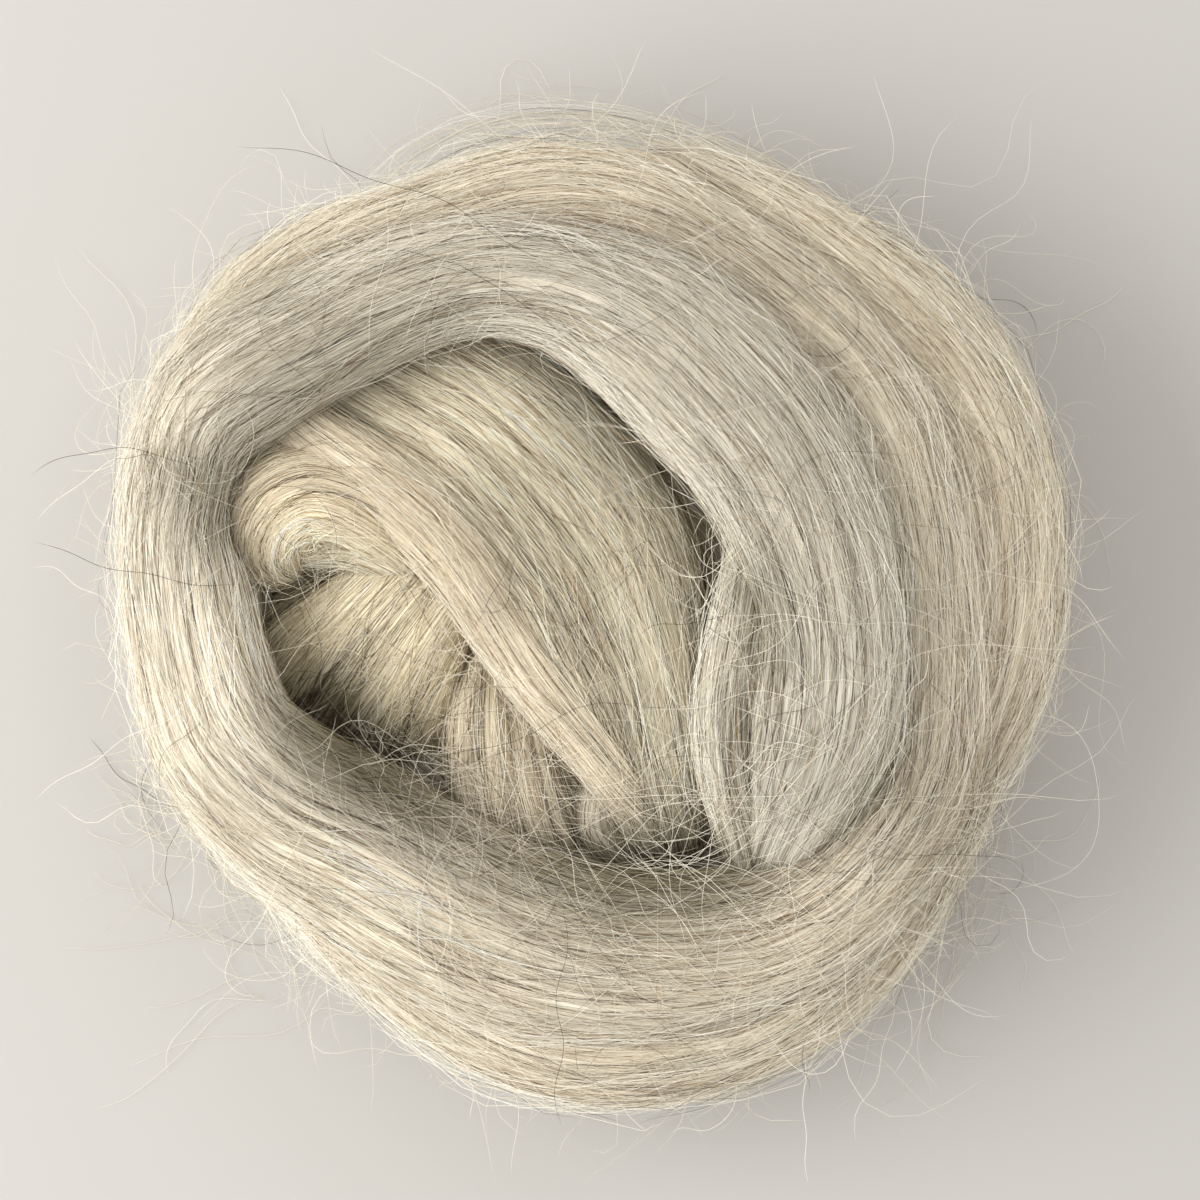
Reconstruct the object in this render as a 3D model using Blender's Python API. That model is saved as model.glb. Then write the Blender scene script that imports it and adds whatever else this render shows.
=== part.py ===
"""A nest of combed wool roving: one long soft strand wound into a low round coil.

The strand is one piece, so the part is one closed solid of its wound form and main twists.
Every stretch of the strand that shows is a row-by-row table below: where its centre runs,
how wide and how deep it is there, and how far it leans. Each stretch is swept as a soft
flattened tube, all of them are melted into one body, and the body is cut flat where it rests.

Units in the tables are millimetres and degrees. Blender's own unit is the metre.
"""
import math

import bmesh
import bpy
import numpy as np

MM = 0.001

# ---- the body as a whole
NODE_NAME = "wool_roving"
VOXEL_SIZE = 1.4 * MM          # grain of the melted body
SMOOTH_FACTOR = 0.5
SMOOTH_STEPS = 6
FACE_BUDGET = 9000             # triangles after decimation
CUTTER_SIZE = 400.0 * MM       # the block that trims the body flat at the resting plane

# ---- the strand's cross-section and the sampling of a stretch
SECTION_POWER = 2.4            # 2 is an ellipse, more is fuller at its corners
SECTION_POINTS = 28
ROW_STEP = 3.0                 # mm between swept sections

# ---- wool, as a plain surface
WOOL_COLOUR = (0.478, 0.423, 0.328, 1.0)
WOOL_ROUGHNESS = 0.9

# Each row: x, y, z of the strand's centre, half its width, half its depth, lean of its width.
# The lowest turn, which the rest lies on.
BASE_TURN = (
    (-21.3,   52.3, 15.0,  7.9,  11.0,   0),
    (0.0,     55.2, 13.0, 10.4,  13.0,   0),
    (21.3,    50.4, 12.0, 11.4,  13.0,   0),
    (38.8,    39.8, 12.0, 11.9,  13.0,   0),
    (50.4,    24.3, 12.5, 11.9,  13.5,   0),
    (53.7,     4.9, 13.0, 11.9,  14.0,   0),
    (50.4,   -13.3, 12.5, 11.6,  13.5,   0),
    (42.8,   -30.3, 12.0, 11.3,  13.0,   0),
    (30.9,   -47.2, 11.5, 11.6,  12.5,   0),
    (11.6,   -57.6, 12.0, 11.8,  13.0,   0),
    (-8.8,   -55.7, 13.0, 11.9,  14.0,   0),
    (-28.1,  -43.0, 12.5, 11.8,  13.5,   0),
    (-44.0,  -25.3, 12.0, 11.1,  13.0,   0),
    (-52.5,   -5.6, 12.0, 10.6,  13.0,   0),
    (-53.6,   13.4, 12.5, 10.6,  13.5,   0),
    (-49.0,   32.7, 13.0, 10.9,  14.0,   0),
    (-36.7,   46.4, 13.0, 10.7,  14.0,   0),
    (-19.3,   53.3, 13.0,  9.9,  14.0,   0),
    (-2.0,    54.7, 13.0,  7.9,  12.0,   0),
)

# The long coil. It starts at its feathered outer end, goes right round the outside on the
# lowest turn, climbs onto itself at the far side, goes round again and dives under at the
# lower right.
COIL = (
    (-23.4,   66.8, 19.0,  1.0,   2.0,   0),
    (-11.7,   69.7, 20.0,  2.5,   4.5,   0),
    (2.0,     67.7, 21.0,  3.8,   8.0,   0),
    (14.7,    61.7, 22.5,  5.9,  11.5,   0),
    (27.1,    53.4, 24.0,  8.9,  13.5,   0),
    (38.8,    42.8, 25.0, 11.9,  14.0,   0),
    (48.9,    31.6, 25.5, 12.4,  13.5,   0),
    (54.7,    17.9, 26.0, 11.9,  13.0,   0),
    (56.2,     4.0, 26.5, 11.4,  12.5,   0),
    (53.5,    -9.6, 26.0, 11.2,  13.0,   0),
    (47.7,   -22.8, 25.0, 10.8,  14.0,   0),
    (42.1,   -35.2, 24.5, 10.8,  14.5,   0),
    (33.7,   -47.7, 24.0, 11.1,  14.5,   0),
    (22.3,   -56.1, 24.0, 11.2,  14.5,   0),
    (9.7,    -59.6, 24.5, 11.3,  14.0,   0),
    (-3.0,   -59.7, 25.5, 11.4,  13.5,   0),
    (-15.4,  -55.2, 26.0, 11.4,  13.0,   0),
    (-28.1,  -45.4, 26.0, 11.3,  13.0,   0),
    (-40.1,  -33.6, 25.5, 10.7,  13.5,   0),
    (-50.6,  -21.9, 25.0,  9.4,  14.0,   0),
    (-56.1,   -7.5, 24.5,  8.1,  14.0,   0),
    (-58.0,    4.9, 24.5,  7.9,  14.0,   0),
    (-56.6,   17.2, 25.0,  8.1,  14.0,   0),
    (-52.7,   29.8, 25.5, 10.4,  14.0,   0),
    (-47.7,   41.1, 26.5, 10.0,  13.5,   0),
    (-37.8,   48.9, 27.5,  9.2,  13.5,   2),
    (-24.2,   54.4, 28.5,  8.4,  13.0,   4),
    (-10.0,   58.0, 29.5,  9.5,  13.0,   6),
    (3.0,     57.0, 30.0,  9.5,  13.0,   8),
    (13.5,    52.0, 30.5,  9.5,  12.5,  10),
    (24.0,    44.5, 31.5,  9.5,  12.5,  12),
    (34.0,    36.0, 32.0,  9.5,  12.5,  12),
    (41.0,    25.5, 32.5,  9.5,  12.5,  12),
    (44.5,    13.0, 32.5,  9.5,  12.5,  12),
    (46.0,     0.0, 32.5, 10.0,  12.5,  12),
    (46.0,   -12.5, 33.0, 10.0,  12.5,  12),
    (43.5,   -25.5, 33.5, 10.0,  12.5,  12),
    (37.0,   -37.0, 35.5, 10.0,  12.5,   4),
    (27.0,   -45.0, 35.5, 10.0,  12.0,   0),
    (14.5,   -48.4, 35.0, 10.8,  11.0,  -4),
    (1.2,    -49.8, 34.0, 12.2,   9.5, -14),
    (-12.2,  -47.6, 33.0, 13.6,   9.0, -22),
    (-24.2,  -41.6, 33.0, 13.6,   9.0, -21),
    (-35.2,  -34.0, 34.0, 12.4,   9.5, -13),
    (-45.6,  -26.8, 36.0, 10.8,  10.5,  -3),
    (-54.0,  -17.5, 38.0,  9.5,   9.8,   2),
    (-57.3,   -6.3, 38.5,  8.7,   9.4,   6),
    (-59.2,    4.0, 38.5,  8.3,   9.4,   6),
    (-60.8,   12.0, 38.5,  7.2,   9.6,   0),
    (-60.1,   20.5, 39.0,  7.2,   9.8,  -8),
    (-56.5,   28.3, 40.5,  8.1,  10.0,  -2),
    (-50.0,   34.5, 41.0,  9.5,  10.0,  -8),
    (-41.5,   39.5, 41.5,  9.0,  10.0, -10),
    (-31.0,   44.5, 42.0,  8.5,  10.0,  -8),
    (-19.0,   48.0, 42.5,  8.0,  10.0,  -4),
    (-6.0,    46.5, 43.0,  8.5,  10.5,   4),
    (6.0,     41.0, 43.5, 11.0,  11.0,   4),
    (15.9,    32.9, 44.0, 12.0,  11.0,   0),
    (24.5,    22.5, 44.0, 11.5,  11.0,   0),
    (30.5,     9.8, 44.0, 11.0,  11.0,   0),
    (32.8,    -3.5, 44.0, 10.7,  11.0,   3),
    (32.0,   -14.5, 43.5, 11.2,  11.0,   5),
    (29.8,   -23.5, 42.0,  9.2,  10.0,   3),
    (27.6,   -30.0, 38.0,  6.6,   9.0,   0),
    (25.8,   -35.0, 31.5,  4.6,   7.0,   0),
    (24.5,   -39.0, 23.0,  3.6,   6.5,   0),
)

# The broad strap that crosses the middle.
STRAP = (
    (-41.0,  38.5, 24.0, 13.0,  8.0,    6),
    (-32.0,  32.8, 28.5, 15.5,  9.0,   10),
    (-20.5,  25.5, 32.0, 17.0,  9.5,   14),
    (-11.3,  16.2, 33.0, 17.8,  9.5,   17),
    (-3.2,    5.2, 33.5, 17.6,  9.5,   19),
    (-0.2,   -2.8, 33.5, 15.6,  9.5,   19),
    (3.0,   -10.3, 33.0, 13.0,  9.0,   18),
    (6.0,   -20.5, 30.5,  9.8,  8.5,   14),
    (8.5,   -27.5, 25.5,  7.8,  8.0,    8),
    (11.0,  -33.5, 17.0,  6.0,  7.5,    0),
    (13.0,  -38.0,  9.0,  5.0,  7.0,    0),
)

# The strap's near edge, rolled into a soft ridge.
STRAP_EDGE = (
    (-46.5,   30.0, 29.0,  3.5,   6.5,   0),
    (-42.1,   26.1, 34.0,  5.0,   7.5,   0),
    (-36.6,   22.2, 36.5,  5.6,   8.0,   0),
    (-30.4,   17.9, 37.5,  5.8,   8.0,   0),
    (-24.1,   12.5, 38.0,  5.8,   8.0,   0),
    (-18.7,    6.6, 38.0,  5.6,   8.0,   0),
    (-13.9,   -0.7, 37.5,  5.2,   7.5,   0),
    (-9.1,    -8.2, 37.0,  4.8,   7.5,   0),
    (-3.3,   -15.5, 35.5,  4.4,   7.0,   0),
    (2.4,    -22.7, 32.0,  4.2,   7.0,   0),
    (7.4,    -28.7, 25.0,  3.8,   6.5,   0),
    (11.4,   -33.4, 15.0,  3.0,   6.0,   0),
)

# The small hairpin fold beside the strap's upper end.
FOLD = (
    (-46.8,   9.0, 26.0,  1.8,  5.0,    0),
    (-47.6,  11.0, 31.0,  5.0,  8.0,    0),
    (-47.2,  13.4, 34.0,  7.2,  9.2,    0),
    (-45.2,  15.8, 35.5,  8.2,  9.5,    0),
    (-41.4,  17.2, 36.0,  8.1,  9.5,    0),
    (-37.0,  16.4, 36.0,  7.4,  9.5,    0),
    (-33.0,  14.2, 35.5,  6.4,  9.0,    0),
    (-28.8,  10.9, 34.0,  5.0,  8.0,    0),
    (-24.3,   6.6, 31.0,  3.6,  7.0,    0),
    (-20.0,   1.5, 28.0,  2.5,  6.0,    0),
)

# What is folded in under that hairpin.
UNDERFOLD = (
    (-45.4,   8.2, 24.0,  1.5,  5.5,    0),
    (-41.6,   9.4, 29.5,  2.6,  7.6,    0),
    (-37.2,  10.2, 32.0,  3.6,  8.0,    0),
    (-32.0,   9.0, 32.5,  4.2,  8.2,    0),
    (-26.5,   6.0, 31.0,  4.0,  8.0,    0),
    (-22.0,   1.5, 28.5,  3.0,  7.0,    0),
)

# The stretch that shows at the bottom of the hollow, and the two tucked in beside it.
BED = (
    (-17.5,  12.0, 24.0,  3.0,  7.0,    0),
    (-22.5,   6.0, 28.0,  6.5,  8.5,    0),
    (-27.5,   0.0, 29.0, 11.0,  9.5,    0),
    (-32.0,  -6.0, 25.0, 15.5, 10.0,    0),
    (-36.0, -11.5, 17.0, 18.0, 10.0,    0),
    (-38.5, -15.0,  8.5, 18.5,  9.5,    0),
    (-40.0, -17.0,  3.0, 17.0,  8.0,    0),
)
LEFT_TUCK = (
    (-16.5,  -5.0, 27.0,  1.5,  5.0,    0),
    (-17.5, -15.0, 28.5,  4.5,  7.5,    0),
    (-17.0, -24.0, 26.5,  5.5,  8.0,    0),
    (-15.5, -32.0, 20.5,  6.0,  8.0,    0),
    (-14.5, -38.0, 12.0,  5.5,  7.5,    0),
)
RIGHT_TUCK = (
    (-13.0,  -8.0, 26.5,  1.5,  5.0,    0),
    (-11.0, -18.5, 27.0,  4.0,  7.5,    0),
    (-9.0,  -27.5, 24.5,  5.0,  8.0,    0),
    (-6.5,  -35.0, 18.0,  5.0,  7.5,    0),
    (-5.0,  -40.0, 10.0,  4.5,  7.0,    0),
)

# The little curl under the strap's lower end.
CURL = (
    (3.0,   -17.0, 24.0,  2.0,  5.0,    0),
    (0.5,   -25.0, 24.0,  3.5,  6.0,    0),
    (0.0,   -31.0, 22.5,  4.0,  6.5,    0),
    (4.0,   -36.0, 19.5,  4.0,  6.0,    0),
    (10.5,  -39.0, 16.0,  4.0,  6.0,    0),
)

# The coil's inner lip, rolled under along the right of the strap.
INNER_LIP = (
    (22.6,    16.5, 36.0,  2.0,   6.0,   0),
    (22.6,     8.5, 39.5,  3.5,   7.5,   0),
    (21.0,    -2.5, 42.0,  5.1,   8.0,   0),
    (19.4,   -13.0, 42.0,  5.4,   8.0,   0),
    (19.8,   -23.0, 40.5,  5.2,   8.0,   0),
    (21.8,   -31.0, 36.5,  4.3,   7.5,   0),
    (23.2,   -37.5, 30.0,  3.4,   6.0,   0),
)

# What lies below all that: the strand's first turns, packed in the middle.
HEART_RADIUS = 24.0
HEART_HEIGHT = 13.0
HEART_HALF_WIDTH = 26.0
HEART_HALF_DEPTH = 13.5
HEART_ROWS = 16
HEART_SWEEP = 370.0            # degrees


def heart_rows():
    """Rows of the packed inner turns, a ring round the nest's middle."""
    rows = []
    for step in range(HEART_ROWS):
        angle = math.radians(HEART_SWEEP) * step / (HEART_ROWS - 1)
        x = HEART_RADIUS * math.cos(angle)
        y = HEART_RADIUS * math.sin(angle)
        rows.append((x, y, HEART_HEIGHT, HEART_HALF_WIDTH, HEART_HALF_DEPTH, 0.0))
    return tuple(rows)


STRETCHES = {
    "base_turn": BASE_TURN,
    "coil": COIL,
    "strap": STRAP,
    "strap_edge": STRAP_EDGE,
    "fold": FOLD,
    "underfold": UNDERFOLD,
    "bed": BED,
    "left_tuck": LEFT_TUCK,
    "right_tuck": RIGHT_TUCK,
    "curl": CURL,
    "inner_lip": INNER_LIP,
    "heart": heart_rows(),
}


def smooth_rows(rows):
    """A smooth (Catmull-Rom) run through the rows of a table, about ROW_STEP apart."""
    knots = np.array(rows, dtype=float)
    knots = np.vstack([2 * knots[0] - knots[1], knots, 2 * knots[-1] - knots[-2]])
    pieces = []
    for before, start, end, after in zip(knots, knots[1:], knots[2:], knots[3:]):
        length = np.linalg.norm(end[:3] - start[:3])
        t = np.linspace(0.0, 1.0, max(2, math.ceil(length / ROW_STEP)), endpoint=False)[:, None]
        pieces.append(0.5 * (2 * start
                             + (end - before) * t
                             + (2 * before - 5 * start + 4 * end - after) * t ** 2
                             + (3 * start - before - 3 * end + after) * t ** 3))
    pieces.append(knots[-2][None, :])
    return np.vstack(pieces)


def section_axes(run):
    """Sideways and upward directions of the strand at every row of a run."""
    along = np.gradient(run[:, :3], axis=0)
    along /= np.linalg.norm(along, axis=1, keepdims=True)
    side = np.cross(along, (0.0, 0.0, 1.0))
    side /= np.linalg.norm(side, axis=1, keepdims=True)
    up = np.cross(side, along)
    lean = np.radians(run[:, 5])[:, None]
    return side * np.cos(lean) + up * np.sin(lean), up * np.cos(lean) - side * np.sin(lean)


def swept_points(rows):
    """Points of a stretch: one flattened round section per row of its smooth run."""
    run = smooth_rows(rows)
    side, up = section_axes(run)
    angle = np.linspace(0.0, 2 * math.pi, SECTION_POINTS, endpoint=False)
    across = np.sign(np.cos(angle)) * np.abs(np.cos(angle)) ** (2 / SECTION_POWER)
    above = np.sign(np.sin(angle)) * np.abs(np.sin(angle)) ** (2 / SECTION_POWER)
    width = run[:, 3, None, None] * across[None, :, None]
    depth = run[:, 4, None, None] * above[None, :, None]
    return run[:, None, :3] + side[:, None, :] * width + up[:, None, :] * depth


def stretch_mesh_data(rows):
    """Vertices (in metres) and faces of one closed stretch."""
    points = swept_points(rows)
    count, around, _ = points.shape
    faces = []
    for i in range(count - 1):
        for j in range(around):
            k = (j + 1) % around
            faces.append((i * around + j, i * around + k, (i + 1) * around + k, (i + 1) * around + j))
    faces.append(tuple(reversed(range(around))))
    faces.append(tuple((count - 1) * around + j for j in range(around)))
    return points.reshape(-1, 3) * MM, faces


def clear_scene():
    for existing in list(bpy.data.objects):
        bpy.data.objects.remove(existing, do_unlink=True)


def joined_stretches():
    """All the stretches in one mesh, still overlapping."""
    vertices = []
    faces = []
    for rows in STRETCHES.values():
        points, quads = stretch_mesh_data(rows)
        start = len(vertices)
        vertices.extend(map(tuple, points))
        faces.extend(tuple(start + index for index in face) for face in quads)
    mesh = bpy.data.meshes.new(NODE_NAME)
    mesh.from_pydata(vertices, [], faces)
    mesh.update()
    return mesh


def wool_material():
    material = bpy.data.materials.new("wool")
    material.use_nodes = True
    shader = material.node_tree.nodes["Principled BSDF"]
    shader.inputs["Base Color"].default_value = WOOL_COLOUR
    shader.inputs["Roughness"].default_value = WOOL_ROUGHNESS
    shader.inputs["Metallic"].default_value = 0.0
    return material


def rest_cutter():
    """A block whose top is the resting plane, where the body is trimmed flat."""
    bpy.ops.mesh.primitive_cube_add(size=CUTTER_SIZE, location=(0.0, 0.0, -CUTTER_SIZE / 2))
    cutter = bpy.context.object
    cutter.name = "rest_cutter"
    cutter.hide_render = True
    cutter.display_type = "WIRE"
    return cutter


def add_modifier(item, kind, **settings):
    modifier = item.modifiers.new(kind.lower(), kind)
    for name, value in settings.items():
        setattr(modifier, name, value)


def apply_modifiers(item):
    """Give the object the mesh that its modifiers make, and drop the modifiers."""
    graph = bpy.context.evaluated_depsgraph_get()
    result = bpy.data.meshes.new_from_object(item.evaluated_get(graph))
    item.modifiers.clear()
    item.data = result


def keep_outer_skin(mesh):
    """Delete every separate shell but the largest, so that no pocket is left inside."""
    shape = bmesh.new()
    shape.from_mesh(mesh)
    unseen = set(shape.verts)
    shells = []
    while unseen:
        shell = [unseen.pop()]
        for vertex in shell:
            for edge in vertex.link_edges:
                neighbour = edge.other_vert(vertex)
                if neighbour in unseen:
                    unseen.remove(neighbour)
                    shell.append(neighbour)
        shells.append(shell)
    shells.sort(key=len)
    for shell in shells[:-1]:
        bmesh.ops.delete(shape, geom=shell, context="VERTS")
    shape.to_mesh(mesh)
    shape.free()


def build():
    clear_scene()
    nest = bpy.data.objects.new(NODE_NAME, joined_stretches())
    bpy.context.scene.collection.objects.link(nest)
    nest.data.materials.append(wool_material())

    add_modifier(nest, "REMESH", mode="VOXEL", voxel_size=VOXEL_SIZE, use_smooth_shade=True)
    apply_modifiers(nest)
    keep_outer_skin(nest.data)

    face_share = FACE_BUDGET / (2 * len(nest.data.polygons))
    add_modifier(nest, "SMOOTH", factor=SMOOTH_FACTOR, iterations=SMOOTH_STEPS)
    add_modifier(nest, "DECIMATE", ratio=face_share)
    add_modifier(nest, "BOOLEAN", operation="DIFFERENCE", object=rest_cutter(), solver="EXACT")
    return nest


if __name__ == "__main__":
    build()
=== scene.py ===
"""A nest of combed wool roving: the looks of the strand and its loose fibres.

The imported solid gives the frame. The same rows as in the part's source place the strand here,
as finely ridged bodies with a fibrous surface, under a coat of single fibres that run along it.
Curly strays lie over the nest and stand out all round it.
Units in the tables are millimetres and degrees.
"""
import math

import bpy
import numpy as np
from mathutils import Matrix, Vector
from mathutils.bvhtree import BVHTree


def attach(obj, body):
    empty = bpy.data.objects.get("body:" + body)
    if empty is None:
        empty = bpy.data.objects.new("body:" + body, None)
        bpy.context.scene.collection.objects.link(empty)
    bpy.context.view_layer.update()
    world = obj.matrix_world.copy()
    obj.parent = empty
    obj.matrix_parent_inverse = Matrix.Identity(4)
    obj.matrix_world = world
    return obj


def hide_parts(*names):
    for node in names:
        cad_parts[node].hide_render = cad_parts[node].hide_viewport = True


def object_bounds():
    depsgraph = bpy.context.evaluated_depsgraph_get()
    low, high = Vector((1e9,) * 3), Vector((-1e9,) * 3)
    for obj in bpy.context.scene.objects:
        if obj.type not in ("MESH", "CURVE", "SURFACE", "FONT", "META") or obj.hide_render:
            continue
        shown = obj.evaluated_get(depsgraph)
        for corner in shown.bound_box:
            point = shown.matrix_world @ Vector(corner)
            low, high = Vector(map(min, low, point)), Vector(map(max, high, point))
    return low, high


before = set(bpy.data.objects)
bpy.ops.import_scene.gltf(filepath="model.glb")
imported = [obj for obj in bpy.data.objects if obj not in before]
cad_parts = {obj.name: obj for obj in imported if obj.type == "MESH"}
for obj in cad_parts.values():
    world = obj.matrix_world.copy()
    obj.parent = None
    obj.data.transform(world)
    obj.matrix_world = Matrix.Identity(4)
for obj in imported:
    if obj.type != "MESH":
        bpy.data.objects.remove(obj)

CAD_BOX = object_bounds()
MM = 0.001
NODE_NAME = "wool_roving"
BODY = "root"
SEED = 11
SEED_STEP = 100  # between the seeds of two stretches' noise

# ---- the strand, as in the part's source
SECTION_POWER = 2.4  # 2 is an ellipse, more is fuller at its corners
ROW_STEP = 2.6  # mm between swept sections of the long turns
FINE_ROW_STEP = 1.2  # and of the short stretches
LONG_TURNS = ("base_turn", "coil", "heart")
POINT_STEP = 0.9  # mm between points round a section
HIDDEN_POINT_STEP = 2.0  # and round the hidden heart
OWN_REACH = 70.0  # mm along a stretch within which it can't cover itself
NOT_NEAR = 9.0  # depth given to a point that a stretch can't cover
POINTS_AT_ONCE = 4000  # how many points are compared with a stretch at a time
LOWEST_WOOL = 0.05  # mm, the least height of the strand's surface over the floor
SECTION_ANGLES = 361  # from which a section's evenly spaced points are worked out

# Each row: x, y, z of the strand's centre, half its width, half its depth, lean of its width.
# The lowest turn, which the rest lies on.
BASE_TURN = (
    (-21.3,  52.3, 15.0,  7.9, 11.0, 0),
    (  0.0,  55.2, 13.0, 10.4, 13.0, 0),
    ( 21.3,  50.4, 12.0, 11.4, 13.0, 0),
    ( 38.8,  39.8, 12.0, 11.9, 13.0, 0),
    ( 50.4,  24.3, 12.5, 11.9, 13.5, 0),
    ( 53.7,   4.9, 13.0, 11.9, 14.0, 0),
    ( 50.4, -13.3, 12.5, 11.6, 13.5, 0),
    ( 42.8, -30.3, 12.0, 11.3, 13.0, 0),
    ( 30.9, -47.2, 11.5, 11.6, 12.5, 0),
    ( 11.6, -57.6, 12.0, 11.8, 13.0, 0),
    ( -8.8, -55.7, 13.0, 11.9, 14.0, 0),
    (-28.1, -43.0, 12.5, 11.8, 13.5, 0),
    (-44.0, -25.3, 12.0, 11.1, 13.0, 0),
    (-52.5,  -5.6, 12.0, 10.6, 13.0, 0),
    (-53.6,  13.4, 12.5, 10.6, 13.5, 0),
    (-49.0,  32.7, 13.0, 10.9, 14.0, 0),
    (-36.7,  46.4, 13.0, 10.7, 14.0, 0),
    (-19.3,  53.3, 13.0,  9.9, 14.0, 0),
    ( -2.0,  54.7, 13.0,  7.9, 12.0, 0),
)

# The long coil. It starts at its feathered outer end, goes right round the outside on the
# lowest turn, climbs onto itself at the far side, goes round again and dives under at the
# lower right.
COIL = (
    (  6.0,  67.5, 20.0,  0.5,  2.0,   0),
    ( 10.5,  65.3, 21.2,  2.6,  7.0,   0),
    ( 14.7,  61.7, 22.5,  5.9, 11.5,   0),
    ( 27.1,  53.4, 24.0,  8.9, 13.5,   0),
    ( 38.8,  42.8, 25.0, 11.9, 14.0,   0),
    ( 48.9,  31.6, 25.5, 12.4, 13.5,   0),
    ( 54.7,  17.9, 26.0, 11.9, 13.0,   0),
    ( 56.2,   4.0, 26.5, 11.4, 12.5,   0),
    ( 53.5,  -9.6, 26.0, 11.2, 13.0,   0),
    ( 47.7, -22.8, 25.0, 10.8, 14.0,   0),
    ( 42.1, -35.2, 24.5, 10.8, 14.5,   0),
    ( 33.7, -47.7, 24.0, 11.1, 14.5,   0),
    ( 22.3, -56.1, 24.0, 11.2, 14.5,   0),
    (  9.7, -59.6, 24.5, 11.3, 14.0,   0),
    ( -3.0, -59.7, 25.5, 11.4, 13.5,   0),
    (-15.4, -55.2, 26.0, 11.4, 13.0,   0),
    (-28.1, -45.4, 26.0, 11.3, 13.0,   0),
    (-40.1, -33.6, 25.5, 10.7, 13.5,   0),
    (-50.6, -21.9, 25.0,  9.4, 14.0,   0),
    (-56.1,  -7.5, 24.5,  8.1, 14.0,   0),
    (-58.0,   4.9, 24.5,  7.9, 14.0,   0),
    (-56.6,  17.2, 25.0,  8.1, 14.0,   0),
    (-52.7,  29.8, 25.5, 10.4, 14.0,   0),
    (-47.7,  41.1, 26.5, 10.0, 13.5,   0),
    (-37.8,  48.9, 27.5,  9.2, 13.5,   2),
    (-24.2,  54.4, 28.5,  8.4, 13.0,   4),
    (-10.0,  58.0, 29.5,  9.5, 13.0,   6),
    (  3.0,  57.0, 30.0,  9.5, 13.0,   8),
    ( 13.5,  52.0, 30.5,  9.5, 12.5,  10),
    ( 24.0,  44.5, 31.5,  9.5, 12.5,  12),
    ( 34.0,  36.0, 32.0,  9.5, 12.5,  12),
    ( 41.0,  25.5, 32.5,  9.5, 12.5,  12),
    ( 44.5,  13.0, 32.5,  9.5, 12.5,  12),
    ( 46.0,   0.0, 32.5, 10.0, 12.5,  12),
    ( 46.0, -12.5, 33.0, 10.0, 12.5,  12),
    ( 43.5, -25.5, 33.5, 10.0, 12.5,  12),
    ( 37.0, -37.0, 35.5, 10.0, 12.5,   4),
    ( 27.0, -45.0, 35.5, 10.0, 12.0,   0),
    ( 14.5, -48.4, 35.0, 10.8, 11.0,  -4),
    (  1.2, -49.8, 34.0, 12.2,  9.5, -14),
    (-12.2, -47.6, 33.0, 13.6,  9.0, -22),
    (-24.2, -41.6, 33.0, 13.6,  9.0, -21),
    (-35.2, -34.0, 34.0, 12.4,  9.5, -13),
    (-45.6, -26.8, 36.0, 10.8, 10.5,  -3),
    (-54.0, -17.5, 38.0,  9.5,  9.8,   2),
    (-57.3,  -6.3, 38.5,  8.7,  9.4,   6),
    (-59.2,   4.0, 38.5,  8.3,  9.4,   6),
    (-60.8,  12.0, 38.5,  7.2,  9.6,   0),
    (-60.1,  20.5, 39.0,  7.2,  9.8,  -8),
    (-56.5,  28.3, 40.5,  8.1, 10.0,  -2),
    (-50.0,  34.5, 41.0,  9.5, 10.0,  -8),
    (-41.5,  39.5, 41.5,  9.0, 10.0, -10),
    (-31.0,  44.5, 42.0,  8.5, 10.0,  -8),
    (-19.0,  48.0, 42.5,  8.0, 10.0,  -4),
    ( -6.0,  46.5, 43.0,  8.5, 10.5,   4),
    (  6.0,  41.0, 43.5, 11.0, 11.0,   4),
    ( 15.9,  32.9, 44.0, 12.0, 11.0,   0),
    ( 24.5,  22.5, 44.0, 11.5, 11.0,   0),
    ( 30.5,   9.8, 44.0, 11.0, 11.0,   0),
    ( 32.8,  -3.5, 44.0, 10.7, 11.0,   3),
    ( 32.0, -14.5, 43.5, 11.2, 11.0,   5),
    ( 29.8, -23.5, 42.0,  9.2, 10.0,   3),
    ( 27.6, -30.0, 38.0,  6.6,  9.0,   0),
    ( 25.8, -35.0, 31.5,  4.6,  7.0,   0),
    ( 24.5, -39.0, 23.0,  3.6,  6.5,   0),
)

# The broad strap that crosses the middle.
STRAP = (
    (-41.0,  38.5, 24.0, 13.0, 8.0,  6),
    (-32.0,  32.8, 28.5, 15.5, 9.0, 10),
    (-20.5,  25.5, 32.0, 17.0, 9.5, 14),
    (-11.3,  16.2, 33.0, 17.8, 9.5, 17),
    ( -3.2,   5.2, 33.5, 17.6, 9.5, 19),
    ( -0.2,  -2.8, 33.5, 15.6, 9.5, 19),
    (  3.0, -10.3, 33.0, 13.0, 9.0, 18),
    (  6.0, -20.5, 30.5,  9.8, 8.5, 14),
    (  8.5, -27.5, 25.5,  7.8, 8.0,  8),
    ( 11.0, -33.5, 17.0,  6.0, 7.5,  0),
    ( 13.0, -38.0,  9.0,  5.0, 7.0,  0),
)

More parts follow.
